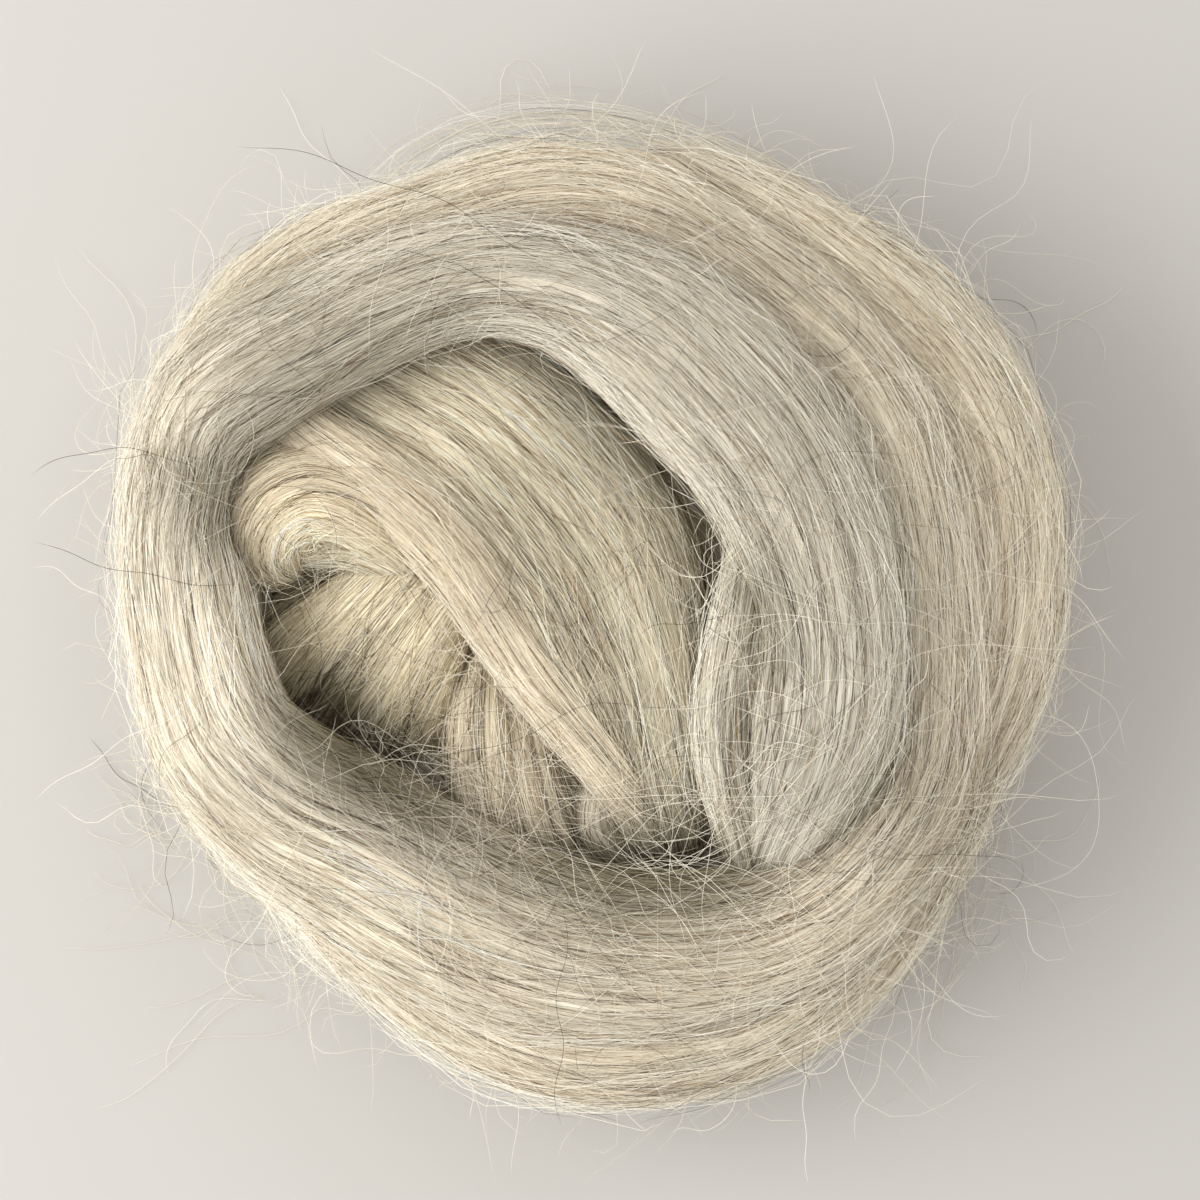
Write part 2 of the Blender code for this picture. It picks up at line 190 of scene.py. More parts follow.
# The strap's near edge, rolled into a soft ridge.
STRAP_EDGE = (
    (-46.5,  30.0, 29.0, 3.5, 6.5, 0),
    (-42.1,  26.1, 34.0, 5.0, 7.5, 0),
    (-36.6,  22.2, 36.5, 5.6, 8.0, 0),
    (-30.4,  17.9, 37.5, 5.8, 8.0, 0),
    (-24.1,  12.5, 38.0, 5.8, 8.0, 0),
    (-18.7,   6.6, 38.0, 5.6, 8.0, 0),
    (-13.9,  -0.7, 37.5, 5.2, 7.5, 0),
    ( -9.1,  -8.2, 37.0, 4.8, 7.5, 0),
    ( -3.3, -15.5, 35.5, 4.4, 7.0, 0),
    (  2.4, -22.7, 32.0, 4.2, 7.0, 0),
    (  7.4, -28.7, 25.0, 3.8, 6.5, 0),
    ( 11.4, -33.4, 15.0, 3.0, 6.0, 0),
)

# The small hairpin fold beside the strap's upper end.
FOLD = (
    (-46.8,  9.0, 26.0, 1.8, 5.0, 0),
    (-47.6, 11.0, 31.0, 5.0, 8.0, 0),
    (-47.2, 13.4, 34.0, 7.2, 9.2, 0),
    (-45.2, 15.8, 35.5, 8.2, 9.5, 0),
    (-41.4, 17.2, 36.0, 8.1, 9.5, 0),
    (-37.0, 16.4, 36.0, 7.4, 9.5, 0),
    (-33.0, 14.2, 35.5, 6.4, 9.0, 0),
    (-28.8, 10.9, 34.0, 5.0, 8.0, 0),
    (-24.3,  6.6, 31.0, 3.6, 7.0, 0),
    (-20.0,  1.5, 28.0, 2.5, 6.0, 0),
)

# What is folded in under that hairpin.
UNDERFOLD = (
    (-45.4,  8.2, 24.0, 1.5, 5.5, 0),
    (-41.6,  9.4, 29.5, 2.6, 7.6, 0),
    (-37.2, 10.2, 32.0, 3.6, 8.0, 0),
    (-32.0,  9.0, 32.5, 4.2, 8.2, 0),
    (-26.5,  6.0, 31.0, 4.0, 8.0, 0),
    (-22.0,  1.5, 28.5, 3.0, 7.0, 0),
)

# The stretch that shows at the bottom of the hollow, and the two tucked in beside it.
BED = (
    (-17.5,  12.0, 24.0,  3.0,  7.0, 0),
    (-22.5,   6.0, 28.0,  6.5,  8.5, 0),
    (-27.5,   0.0, 29.0, 11.0,  9.5, 0),
    (-32.0,  -6.0, 25.0, 15.5, 10.0, 0),
    (-36.0, -11.5, 17.0, 18.0, 10.0, 0),
    (-38.5, -15.0,  8.5, 18.5,  9.5, 0),
    (-40.0, -17.0,  3.0, 17.0,  8.0, 0),
)
LEFT_TUCK = (
    (-16.5,  -5.0, 27.0, 1.5, 5.0, 0),
    (-17.5, -15.0, 28.5, 4.5, 7.5, 0),
    (-17.0, -24.0, 26.5, 5.5, 8.0, 0),
    (-15.5, -32.0, 20.5, 6.0, 8.0, 0),
    (-14.5, -38.0, 12.0, 5.5, 7.5, 0),
)
RIGHT_TUCK = (
    (-13.0,  -8.0, 26.5, 1.5, 5.0, 0),
    (-11.0, -18.5, 27.0, 4.0, 7.5, 0),
    ( -9.0, -27.5, 24.5, 5.0, 8.0, 0),
    ( -6.5, -35.0, 18.0, 5.0, 7.5, 0),
    ( -5.0, -40.0, 10.0, 4.5, 7.0, 0),
)

# The little curl under the strap's lower end.
CURL = (
    ( 3.0, -17.0, 24.0, 2.0, 5.0, 0),
    ( 0.5, -25.0, 24.0, 3.5, 6.0, 0),
    ( 0.0, -31.0, 22.5, 4.0, 6.5, 0),
    ( 4.0, -36.0, 19.5, 4.0, 6.0, 0),
    (10.5, -39.0, 16.0, 4.0, 6.0, 0),
)

# The coil's inner lip, rolled under along the right of the strap.
INNER_LIP = (
    (22.6,  16.5, 36.0, 2.0, 6.0, 0),
    (22.6,   8.5, 39.5, 3.5, 7.5, 0),
    (21.0,  -2.5, 42.0, 5.1, 8.0, 0),
    (19.4, -13.0, 42.0, 5.4, 8.0, 0),
    (19.8, -23.0, 40.5, 5.2, 8.0, 0),
    (21.8, -31.0, 36.5, 4.3, 7.5, 0),
    (23.2, -37.5, 30.0, 3.4, 6.0, 0),
)

# What lies below all that: the strand's first turns, packed in the middle.
HEART_RADIUS = 24.0
HEART_HEIGHT = 13.0
HEART_HALF_WIDTH = 26.0
HEART_HALF_DEPTH = 13.5
HEART_ROWS = 16
HEART_SWEEP = 370.0  # degrees

# The thin veil of fibres at the strand's feathered outer end.
VEIL = (
    (-33.0, 63.0, 16.0, 4.0,  4.0, 0),
    (-27.0, 68.0, 15.0, 4.5,  4.0, 0),
    (-19.0, 71.5, 15.0, 4.5,  4.0, 0),
    (-10.0, 73.0, 15.0, 4.5,  4.5, 0),
    (  0.0, 72.5, 16.0, 4.2,  6.0, 0),
    (  9.0, 70.5, 17.0, 4.0,  8.0, 0),
    ( 18.0, 67.0, 19.0, 3.8, 10.0, 0),
    ( 28.0, 61.5, 20.0, 3.5, 11.0, 0),
    ( 38.0, 53.5, 21.0, 3.0, 12.0, 0),
)
VEIL_FIBRES = 150
VEIL_SEED = 900
VEIL_LENGTH = (44.0, 10.0)  # mm, its fibres' usual length and its spread
VEIL_SHORTEST = 18.0
VEIL_DARK = -0.6  # it is paler than the rest
VEIL_THICKNESS = 0.75


def heart_rows():
    """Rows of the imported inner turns, a ring round the nest's middle."""
    rows = []
    for step in range(HEART_ROWS):
        angle = math.radians(HEART_SWEEP) * step / (HEART_ROWS - 1)
        x = HEART_RADIUS * math.cos(angle)
        y = HEART_RADIUS * math.sin(angle)
        rows.append((x, y, HEART_HEIGHT, HEART_HALF_WIDTH, HEART_HALF_DEPTH, 0.0))
    return tuple(rows)


# ---- ridges and furrows on the strand
RIDGES = (
    # height, length in mm, count, drift round the strand for each mm along it
    (0.70, 80.0,  7,  0.0004),
    (0.34, 60.0, 19,  0.0006),
    (0.12, 40.0, 47, -0.0008),
)
RIDGE_GIRTH = 80.0  # mm round the strand that those counts are for
LEAST_RIDGES = 3
FULL_RIDGE_WIDTH = 9.0  # half width, mm, from which the ridges have their full height
# How much higher the ridges of some stretches are.
RELIEF = {
    "bed": 3.5,
    "underfold": 2.2,
    "left_tuck": 2.2,
    "right_tuck": 2.2,
    "strap": 1.2,
}
NOISE_CELLS = 64  # cells along the strand before its noise repeats
NOISE_START = 1000.0  # keeps places before the strand's start positive

# ---- fibres
FIBRE_SIDES = 3
FIBRE_RADIUS = 0.042  # mm
FLOOR_CLEAR = 2 * FIBRE_RADIUS
TIP_RADIUS = 0.12  # the thinnest that a tip gets, as a share of the fibre's radius
TIP_POWER = 6  # how late along the fibre it gets thinner and dips
END_DIP = 0.6  # mm that the ends of a laid fibre sink into the wool
LIFT_POWER = 2.5  # how late along the fibre a free tip rises
PIECE_TRIANGLES = 180000
LENGTH_LIMITS = (0.4, 1.8)  # least and most of a laid fibre's length, as shares of the usual
HEIGHT_WAVE = (0.5, 9.0)  # how much its height over the wool varies, and how often
LONGEST_SPREAD = (0.6, 1.0)  # share of a stretch's longest length that its fibres are kept to
THICKNESS_SPREAD = (0.8, 1.25)  # least and most of a laid fibre's thickness
STRAY_THICKNESS = (0.6, 1.05)  # and of a stray's
MAP_MARGIN = 0.2  # empty side of a fibre's patch in its map
MAP_LENGTH = 0.6  # length of the fibre in it
MAP_SIDE = 0.25  # and width of one of its sides

# Where fibres can start
LOWEST_START = 1.0  # mm over the floor
FACING_DOWN = -0.75  # how far the wool may face downward
FACING_UP = 0.1  # how far upward it faces at least on its top side
COVERED = 0.85  # how deep in another stretch they may lie: 1 is its skin

# Fibres on the strand: share of all, points, length and its spread, slant off the strand's
# direction, how far they turn on their way, height over the wool, lift of a free tip, thickness.
STYLES = (
    # name      share  points  length  spread  slant  turn  height  lift  thickness
    ("laid",    0.74,     8,  54.0,  13.0,  1.6,  2.2,  0.20, 0.0,     1.00),
    ("loose",   0.16,     8,  44.0,  13.0,  5.0,  8.0,  0.45, 0.8,     0.90),
    ("stray",  0.080,    12,  36.0,  12.0, 13.0, 26.0,  0.70, 1.8,     0.80),
    ("flying", 0.020,    14,  26.0,   9.0, 40.0, 70.0,  0.80, 3.0,     0.75),
    ("fringe", 0.420,     6,  24.0,   8.0,  4.0,  8.0,  1.15, 1.0,     0.85),
)

# How many fibres each square millimetre of a stretch carries, how unruly they are, the longest in
# mm, their tone at its two ends, how dark its mix of fibres is, and how much its locks differ.
# How much the locks differ is partly their own colour and partly painted shade of the furrows
# between them.
COAT = (
    # stretch      fibres unruly longest, colour at the start and at the end, dark, locks
    ("base_turn",  0.24, 1.4,  90, (1.00, 1.00, 1.00), (1.00, 1.00, 1.00), -0.3, 0.05),
    ("coil",       0.36, 1.5,  90, (1.02, 1.01, 0.98), (0.86, 0.885, 0.905), -0.2, 0.06),
    ("strap",      0.56, 1.1,  75, (1.06, 1.06, 1.00), (0.97, 1.00, 0.99), 0.3,  0.12),
    ("strap_edge", 0.60, 1.0,  60, (1.06, 1.03, 0.97), (1.04, 1.04, 1.02), -0.5, 0.05),
    ("fold",       1.10, 1.2,  19, (1.04, 1.01, 0.91), (1.04, 1.01, 0.92), -0.2, 0.15),
    ("underfold",  0.90, 2.4,  20, (1.00, 1.00, 0.92), (1.00, 1.00, 0.92), 0.2,  0.25),
    ("bed",        0.60, 2.6,  32, (1.10, 1.08, 0.95), (1.09, 1.08, 0.95), 0.1,  0.50),
    ("left_tuck",  0.60, 1.6,  26, (0.98, 0.95, 0.87), (0.95, 0.92, 0.84), 0.1,  0.25),
    ("right_tuck", 0.60, 1.8,  26, (1.00, 0.98, 0.92), (1.00, 0.98, 0.92), 0.1,  0.25),
    ("curl",       0.52, 2.0,  20, (1.00, 1.00, 0.97), (1.00, 1.00, 0.97), 0.2,  0.20),
    ("inner_lip",  0.75, 1.2,  36, (0.90, 0.92, 0.92), (0.90, 0.92, 0.92), 0.0,  0.15),
    ("heart",      0.12, 2.0,  60, (1.00, 1.00, 0.97), (1.00, 1.00, 0.97), 0.3,  0.20),
)

# Patches of painted shade on creases, hollows and flanks turned from the lamp: middle and radius,
# and how much darker. Below 0 is painted light, lighter.
PAINTED_SHADE_AND_LIGHT = (
    #    x      y  radius  darker
    (-39.0, -14.5,   8.0,  0.54),
    (-32.5, -20.5,   7.0,  0.52),
    (-25.0, -26.0,   6.5,  0.50),
    (-38.0, -23.0,   4.5,  0.20),
    (-31.5, -27.0,   5.0,  0.28),
    (-24.0, -31.5,   5.0,  0.32),
    (-16.0, -36.0,   5.5,  0.34),
    ( -7.0, -39.0,   5.5,  0.36),
    (  3.0, -40.5,   6.0,  0.38),
    ( 12.0, -40.0,   6.0,  0.42),
    ( 20.5, -38.0,   5.5,  0.32),
    (  5.0, -47.0,   9.0,  0.16),
    ( 18.0, -47.0,  10.0,  0.18),
    ( 44.0, -30.0,  13.0,  0.18),
    (-53.0,  46.0,  11.0,  0.16),
    ( 31.0, -20.0,   9.0,  0.06),
    (-46.5,  28.0,   6.5,  0.20),
    (-38.5,  34.0,   6.5,  0.23),
    (-29.5,  39.0,   6.5,  0.20),
    (-21.0,  42.5,   6.0,  0.14),
    (-55.0,   4.0,   7.0, -0.12),
    (-53.5,  -5.0,   7.0, -0.22),
    (-50.5, -13.0,   7.0, -0.24),
    (-32.0, -36.0,  10.0, -0.42),
    (-20.0, -44.0,   9.0, -0.14),
    (-57.0,  18.0,   5.0,  0.30),
    (-54.5,  10.0,   4.0,  0.26),
    (-44.0,  14.0,   6.0, -0.16),
    ( 22.5,   3.0,   3.5,  0.40),
    ( 23.0,  -3.5,   3.5,  0.30),
    ( 23.4, -11.0,   4.5,  0.18),
    ( 24.0, -18.0,   5.0,  0.20),
    ( 25.0, -25.0,   5.5,  0.20),
    ( 25.5, -32.0,   6.0,  0.08),
    ( 27.0, -18.0,   6.5,  0.08),
    ( 29.0, -27.0,   8.5,  0.06),
    ( -2.0, -36.5,   5.0,  0.35),
    (  6.0, -37.0,   5.0,  0.40),
    ( 14.0, -37.0,   5.0,  0.40),
    ( 15.0,   8.5,   4.0,  0.30),
    (-13.0,  30.0,   9.0, -0.12),
)
SIDE_SHARE = 0.4  # how much of the coat the strand's steep sides carry
FRINGED = ("base_turn", "coil")
FRINGE_FACING = 0.45  # the fringe grows where the wool faces outward at least this much
LOCKS_DARK = 4.0  # how much more of the dark fibres a dark lock has
SHADE_DARK = 1.5  # and a patch of painted shade
SHADE_HUE = (0.0, 0.05, 0.30)  # how much more than that the red, green and blue of painted shade fall
TINT_POWER = 3.0  # how late along a stretch its colour turns to that of its end
TINT_LIMIT = 1.2  # the lightest that a patch of painted light makes the strand under its fibres

# The locks of fibres on a stretch: how strong their tone is, their length and their count.
# Their lighter and darker tone is partly the wool's own colour and partly painted shade of the
# furrows between locks.
LOCKS_SEED = 40  # added to a stretch's seed for its first locks
LOCKS = (
    # share  length  count
    (  1.0,  90.0,   31),
    (  0.6,  60.0,   11),
)

# Linear colour of single fibres, how common each is and its thickness, from pale to dark.
FIBRE_COLOURS = (
    #  red  green   blue  share  thickness
    (0.966, 0.915, 0.815, 0.20,     1.05),
    (0.852, 0.785, 0.660, 0.30,     1.00),
    (0.732, 0.660, 0.530, 0.19,     1.00),
    (0.543, 0.460, 0.340, 0.10,     1.00),
    (0.420, 0.300, 0.175, 0.05,     0.95),
    (0.200, 0.145, 0.090, 0.06,     0.95),
    (0.060, 0.046, 0.034, 0.06,     0.90),
)
DARK_SPREAD = 0.9  # how strongly darkness favours the ends of that table
COLOUR_SPREAD = 0.07  # how much fibres of one colour differ
STRAY_PALE = (1.05, 0.08)  # how much lighter pale strays are, and how much they differ
STRAY_DARK = (1.0, 3.5)  # least and most that a dark one is lighter than the darkest fibre

# How a curly fibre's heading swings on its way: how many swings, and their usual share of its turn.
SWINGS = (
    (0.35, 0.9),
    (0.90, 0.6),
    (1.90, 0.2),
)
SWING_SPREAD = (0.7, 1.3)  # least and most of that many swings
NOD_SHARE = 0.6  # turn of a fibre in the air up and down, as a share of its turn sideways

# Curly fibres that leave the nest's outer side: how many, points, length, how far they turn and
# the angle at which they leave.
HALO = (
    # name    stretch      count  points  length  turn  angle
    ("fuzz", "coil",       900,     7,  10.0, 34.0, 14.0),
    ("fuzz", "base_turn",  500,     7,   9.0, 34.0, 12.0),
    ("halo", "coil",       240,    15,  17.0, 60.0, 16.0),
    ("halo", "base_turn",  110,    15,  15.0, 60.0, 15.0),
)
HALO_TRIES = 12  # places tried for each such fibre
HALO_FACING = 0.35  # they grow where the wool faces outward at least this much
HALO_LOWEST = 2.0  # mm over the floor
HALO_CLEAR = 2.5  # mm over the wool that must lie outside every other stretch
HALO_DARK = 0.03  # share of dark ones
HALO_SHORTEST = 5.0  # mm
HALO_LONGEST = 2.2  # as a share of their usual length

# Curly fibres thrown over a patch of the nest: its middle and radius, their count, length, usual
# heading, turn, and the share of dark ones.
TANGLES = (
    #    x      y  radius  count  length  heading  turn  dark
    ( 12.0, -37.0,  20.0,   60,  32.0,   10.0, 45.0, 0.08),
    ( 30.0, -38.0,  12.0,   34,  28.0,   40.0, 60.0, 0.08),
    (-24.0, -30.0,  13.0,   80,  24.0,  -32.0, 40.0, 0.10),
    (-36.0, -19.0,   6.0,   50,  14.0,  -30.0, 35.0, 0.35),
    (-25.0, -25.0,   6.0,   50,  14.0,  -28.0, 35.0, 0.35),
    ( -4.0, -38.0,  14.0,   70,  26.0,  -12.0, 40.0, 0.10),
    (-30.0,  -8.0,  14.0,   80,  16.0,   40.0, 50.0, 0.06),
    (-44.0, -52.0,  10.0,   44,  22.0,  140.0, 50.0, 0.04),
    (-60.0, -34.0,   8.0,   44,  20.0,  120.0, 60.0, 0.04),
    ( 56.0, -38.0,   9.0,   44,  20.0,  240.0, 60.0, 0.04),
    ( 60.0,  34.0,   9.0,   26,  22.0,  -60.0, 50.0, 0.04),
    (-62.0,  20.0,   8.0,   30,  20.0,  100.0, 50.0, 0.04),
    ( 16.0,  12.0,  10.0,   26,  16.0,  -50.0, 50.0, 0.25),
    (  4.0,  27.0,   7.0,   14,  18.0,  -44.0, 22.0, 0.10),
    ( 14.0,  14.0,   7.0,   12,  18.0,  -52.0, 22.0, 0.10),
    (-47.0,   8.0,   5.0,   30,  12.0,  -20.0, 70.0, 0.15),
    (  0.0,  70.0,  10.0,   26,  24.0,  170.0, 45.0, 0.06),
    (  0.0,   0.0,  62.0,  170,  28.0,    0.0, 60.0, 0.08),
)
TANGLE_POINTS = 14
TANGLE_SPREAD = 28.0  # degrees that their headings differ
TANGLE_SHORTEST = 6.0  # mm
TANGLE_LONGEST = 2.0  # as a share of their usual length

# Single long strays: start, heading there, length, turn on the way (left is positive), a wave on
# top of that, and whether it is dark.
LONG_STRAYS = (
    #    x      y  heading  length    turn  wave  dark
    ( 58.0, -15.0,    6.0,  48.0, -200.0,  9.0,   0),
    ( 46.0,   2.0,   30.0,  36.0,  -95.0, 12.0,   0),
    (-60.0,  26.0,  200.0,  24.0,   22.0,  6.0,   0),
    (-56.0,  20.0,  150.0,  26.0,   60.0,  7.0,   1),
    (-56.0, -12.0,  205.0,  29.0,   10.0, 10.0,   0),
    (-50.0,   4.0,  178.0,  31.0,  -20.0,  8.0,   1),
    (-66.0,  -6.0,  110.0,  21.0,   60.0, 20.0,   0),
    ( 30.0, -62.0,  -92.0,  22.0,    8.0,  8.0,   0),
    ( -5.0, -40.0,  -95.0,  34.0,    6.0, 16.0,   1),
    ( 27.0,  42.0,  -86.0,  30.0,  330.0,  0.0,   1),
    (-54.0,  68.0,  -10.0,  50.0,  -25.0,  9.0,   1),
    ( 60.0,  40.0,   10.0,  22.0,   30.0, 10.0,   0),
    (-48.0, -60.0,  150.0,  24.0,  120.0, 12.0,   0),
    ( 62.0, -34.0,  -30.0,  22.0,  140.0, 12.0,   0),
    (-30.0,  62.0,  160.0,  26.0,  -50.0, 10.0,   0),
    (-61.0, -30.0,  170.0,  20.0,  -50.0, 12.0,   1),
    (  8.0,  68.0,   80.0,  18.0,  -60.0,  8.0,   0),
    ( 40.0,   8.0, -100.0,  34.0,   30.0,  8.0,   0),
)
LONG_STRAY_POINTS = 30
LONG_STRAY_WAVES = 2.3
STRAY_DROOP = 0.45  # fall of a stray in the air for each mm along it
STRAY_LIFT = 0.5  # mm that a stray keeps over the wool
REACH_SHARE = 0.03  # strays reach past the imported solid's box by this share of each
REACH_MORE = 9.5  # side and by this many mm
ABOVE_ALL = 90.0  # mm, a height over everything

# ---- the wool under the single fibres
FINE_STREAKS = (45.0, 4400.0)  # how many for each metre along the strand, and round it
BROAD_STREAKS = (14.0, 900.0)
# Darker than the fibres: partly the wool's own streaks, partly painted shade in the gaps between
# the fibres.
STREAK_COLOURS = (
    # noise  colour
    (0.34,   (0.30, 0.25, 0.18, 1.0)),
    (0.44,   (0.59, 0.51, 0.395, 1.0)),
    (0.66,   (0.82, 0.76, 0.635, 1.0)),
)

# ---- the studio
FLOOR_HALF_SIDE = 2.0  # m
FLOOR_COLOUR = (0.46, 0.446, 0.42, 1.0)
WORLD_COLOUR = (1.0, 0.99, 0.97, 1.0)
WORLD_STRENGTH = 0.90
LAMPS = (
    # name   place in m           side in m, power in W
    ("key",  (-0.74, -0.06, 0.48), 0.90, 10.6),
    ("fill", (0.20, 0.40, 0.90),   0.90, 1.8),
)
LAMP_TARGET = Vector((0.0, 0.0, 0.03))
CAMERA_PLACE = (0.0003, 0.0018, 0.75)
CAMERA_LENS = 148.0  # mm
CAMERA_SENSOR = 36.0  # mm


def smooth_rows(rows, step):
    """A smooth (Catmull-Rom) run through the rows of a table, about step apart."""
    knots = np.array(rows, dtype=float)
    knots = np.vstack([2 * knots[0] - knots[1], knots, 2 * knots[-1] - knots[-2]])
    pieces = []
    for before, start, end, after in zip(knots, knots[1:], knots[2:], knots[3:]):
        length = np.linalg.norm(end[:3] - start[:3])
        t = np.linspace(0.0, 1.0, max(2, math.ceil(length / step)), endpoint=False)[:, None]
        pieces.append(0.5 * (2 * start
                             + (end - before) * t
                             + (2 * before - 5 * start + 4 * end - after) * t ** 2
                             + (3 * start - before - 3 * end + after) * t ** 3))
    pieces.append(knots[-2][None, :])
    return np.vstack(pieces)


def unit(vectors):
    """The vectors at length 1."""
    return vectors / np.maximum(np.linalg.norm(vectors, axis=-1, keepdims=True), 1e-9)


def between(table, rows, columns, row_share, column_share):
    """Values between a table's cells, each from two neighbouring rows and columns."""
    (i0, i1), (j0, j1) = rows, columns
    low = table[i0, j0] * (1 - column_share) + table[i0, j1] * column_share
    high = table[i1, j0] * (1 - column_share) + table[i1, j1] * column_share
    return low * (1 - row_share) + high * row_share


def streak_noise(seed, along, around, cell_length, cells_round, drift):
    """Smooth noise from -1 to 1 on the strand: long cells along it, narrow cells round it."""
    table = np.random.default_rng(seed).uniform(-1.0, 1.0, (NOISE_CELLS, cells_round))
    a = along / cell_length + NOISE_START
    b = (around + drift * along) * cells_round + NOISE_START * cells_round
    i, j = np.floor(a).astype(int), np.floor(b).astype(int)
    fa, fb = a - i, b - j
    fa, fb = fa * fa * (3 - 2 * fa), fb * fb * (3 - 2 * fb)
    rows = (i % NOISE_CELLS, (i + 1) % NOISE_CELLS)
    columns = (j % cells_round, (j + 1) % cells_round)
    return between(table, rows, columns, fa, fb)


class Stretch:
    """One stretch of the strand, with its surface as a grid: rows along it, points round it."""

    def __init__(self, name, rows, seed):
        self.name = name
        self.seed = seed
        self.run = smooth_rows(rows, ROW_STEP if name in LONG_TURNS else FINE_ROW_STEP)
        centre = self.run[:, :3]
        along = unit(np.gradient(centre, axis=0))
        side = unit(np.cross(along, (0.0, 0.0, 1.0)))
        up = np.cross(side, along)
        lean = np.radians(self.run[:, 5])[:, None]
        self.side = side * np.cos(lean) + up * np.sin(lean)
        self.up = up * np.cos(lean) - side * np.sin(lean)
        steps = np.linalg.norm(np.diff(centre, axis=0), axis=1)
        self.distance = np.concatenate([[0.0], np.cumsum(steps)])
        self.length = self.distance[-1]
        self.perimeter = self.girth()
        point_step = HIDDEN_POINT_STEP if name == "heart" else POINT_STEP
        self.around = int(max(self.perimeter) / point_step)
        self.points = self.surface()
        self.normals = self.surface_normals()
        self.flow = unit(np.gradient(self.points, axis=0))

    def girth(self):
        """Length round the section at each row, by Ramanujan's rule for an ellipse."""
        a, b = self.run[:, 3], self.run[:, 4]
        return math.pi * (3 * (a + b) - np.sqrt((3 * a + b) * (a + 3 * b)))

    def area(self):
        return float(np.sum(self.perimeter * np.gradient(self.distance)))

    def section(self, width, depth):
        """Points evenly spaced round one section, in its own plane."""
        fine = np.linspace(0.0, 2 * math.pi, SECTION_ANGLES)
        x = width * np.sign(np.cos(fine)) * np.abs(np.cos(fine)) ** (2 / SECTION_POWER)
        y = depth * np.sign(np.sin(fine)) * np.abs(np.sin(fine)) ** (2 / SECTION_POWER)
        walked = np.concatenate([[0.0], np.cumsum(np.hypot(np.diff(x), np.diff(y)))])
        wanted = np.linspace(0.0, walked[-1], self.around, endpoint=False)
        return np.interp(wanted, walked, x), np.interp(wanted, walked, y)

    def surface(self):
        rows = []
        for row, side, up in zip(self.run, self.side, self.up):
            x, y = self.section(row[3], row[4])
            rows.append(row[:3] + side * x[:, None] + up * y[:, None])
        plain = np.array(rows)
        outward = unit(plain - self.run[:, None, :3])
        around = np.arange(self.around)[None, :] / self.around
        along = self.distance[:, None]
        height = np.zeros(plain.shape[:2])
        for number, (amp, length, count, drift) in enumerate(RIDGES):
            cells = max(LEAST_RIDGES, round(count * max(self.perimeter) / RIDGE_GIRTH))
            height += amp * streak_noise(self.seed + number, along, around, length, cells, drift)
        height *= np.minimum(1.0, self.run[:, 3] / FULL_RIDGE_WIDTH)[:, None]
        height *= RELIEF.get(self.name, 1.0)
        ridged = plain + outward * height[:, :, None]
        ridged[:, :, 2] = np.maximum(ridged[:, :, 2], LOWEST_WOOL)
        return ridged

    def surface_normals(self):
        along = np.gradient(self.points, axis=0)
        around = np.roll(self.points, -1, axis=1) - np.roll(self.points, 1, axis=1)
        normal = unit(np.cross(around, along))
        outward = self.points - self.run[:, None, :3]
        flip = np.sign(np.sum(normal * outward, axis=2, keepdims=True))
        return normal * np.where(flip == 0, 1.0, flip)

    def lookup(self, grid, along, around):
        """A grid's value at places on the surface: distance along, turn fraction around."""
        i = np.interp(along, self.distance, np.arange(len(self.distance)))
        i = np.clip(i, 0, len(self.distance) - 1.001)
        j = (around % 1.0) * self.around
        i0, j0 = np.floor(i).astype(int), np.floor(j).astype(int) % self.around
        fi, fj = (i - i0)[..., None], (j - np.floor(j))[..., None]
        return between(grid, (i0, i0 + 1), (j0, (j0 + 1) % self.around), fi, fj)

    def holds(self, points, own=None):
        """How deep each point lies in this stretch: under 1 is inside it, over 1 outside.

        own gives the points' own distance along this stretch, whose rows nearby don't count.
        """
        best = np.full(len(points), NOT_NEAR)
        for start in range(0, len(points), POINTS_AT_ONCE):
            part = slice(start, start + POINTS_AT_ONCE)
            offset = points[part, None, :] - self.run[None, :, :3]
            gap = np.sum(offset ** 2, axis=2)
            if own is not None:
                nearby = np.abs(own[part, None] - self.distance[None, :]) < OWN_REACH
                gap = np.where(nearby, np.inf, gap)
            near = np.argmin(gap, axis=1)
            rows = np.arange(len(near))
            offset = offset[rows, near]
            x = np.abs(np.sum(offset * self.side[near], axis=1)) / self.run[near, 3]
            y = np.abs(np.sum(offset * self.up[near], axis=1)) / self.run[near, 4]
            value = x ** SECTION_POWER + y ** SECTION_POWER
            best[part] = np.where(np.isinf(gap[rows, near]), NOT_NEAR, value)
        return best


def grid_faces(count, around):
    """For a tube's points, ring after ring: their numbers, the next ones round, and its faces."""
    index = np.arange(count * around).reshape(count, around)
    after = np.roll(index, -1, axis=1)
    faces = np.stack([index[:-1], after[:-1], after[1:], index[1:]], axis=-1)
    return index, after, faces.reshape(-1, 4)


def add_object(name, data):
    """A new object in the scene."""
    item = bpy.data.objects.new(name, data)
    bpy.context.scene.collection.objects.link(item)
    return item


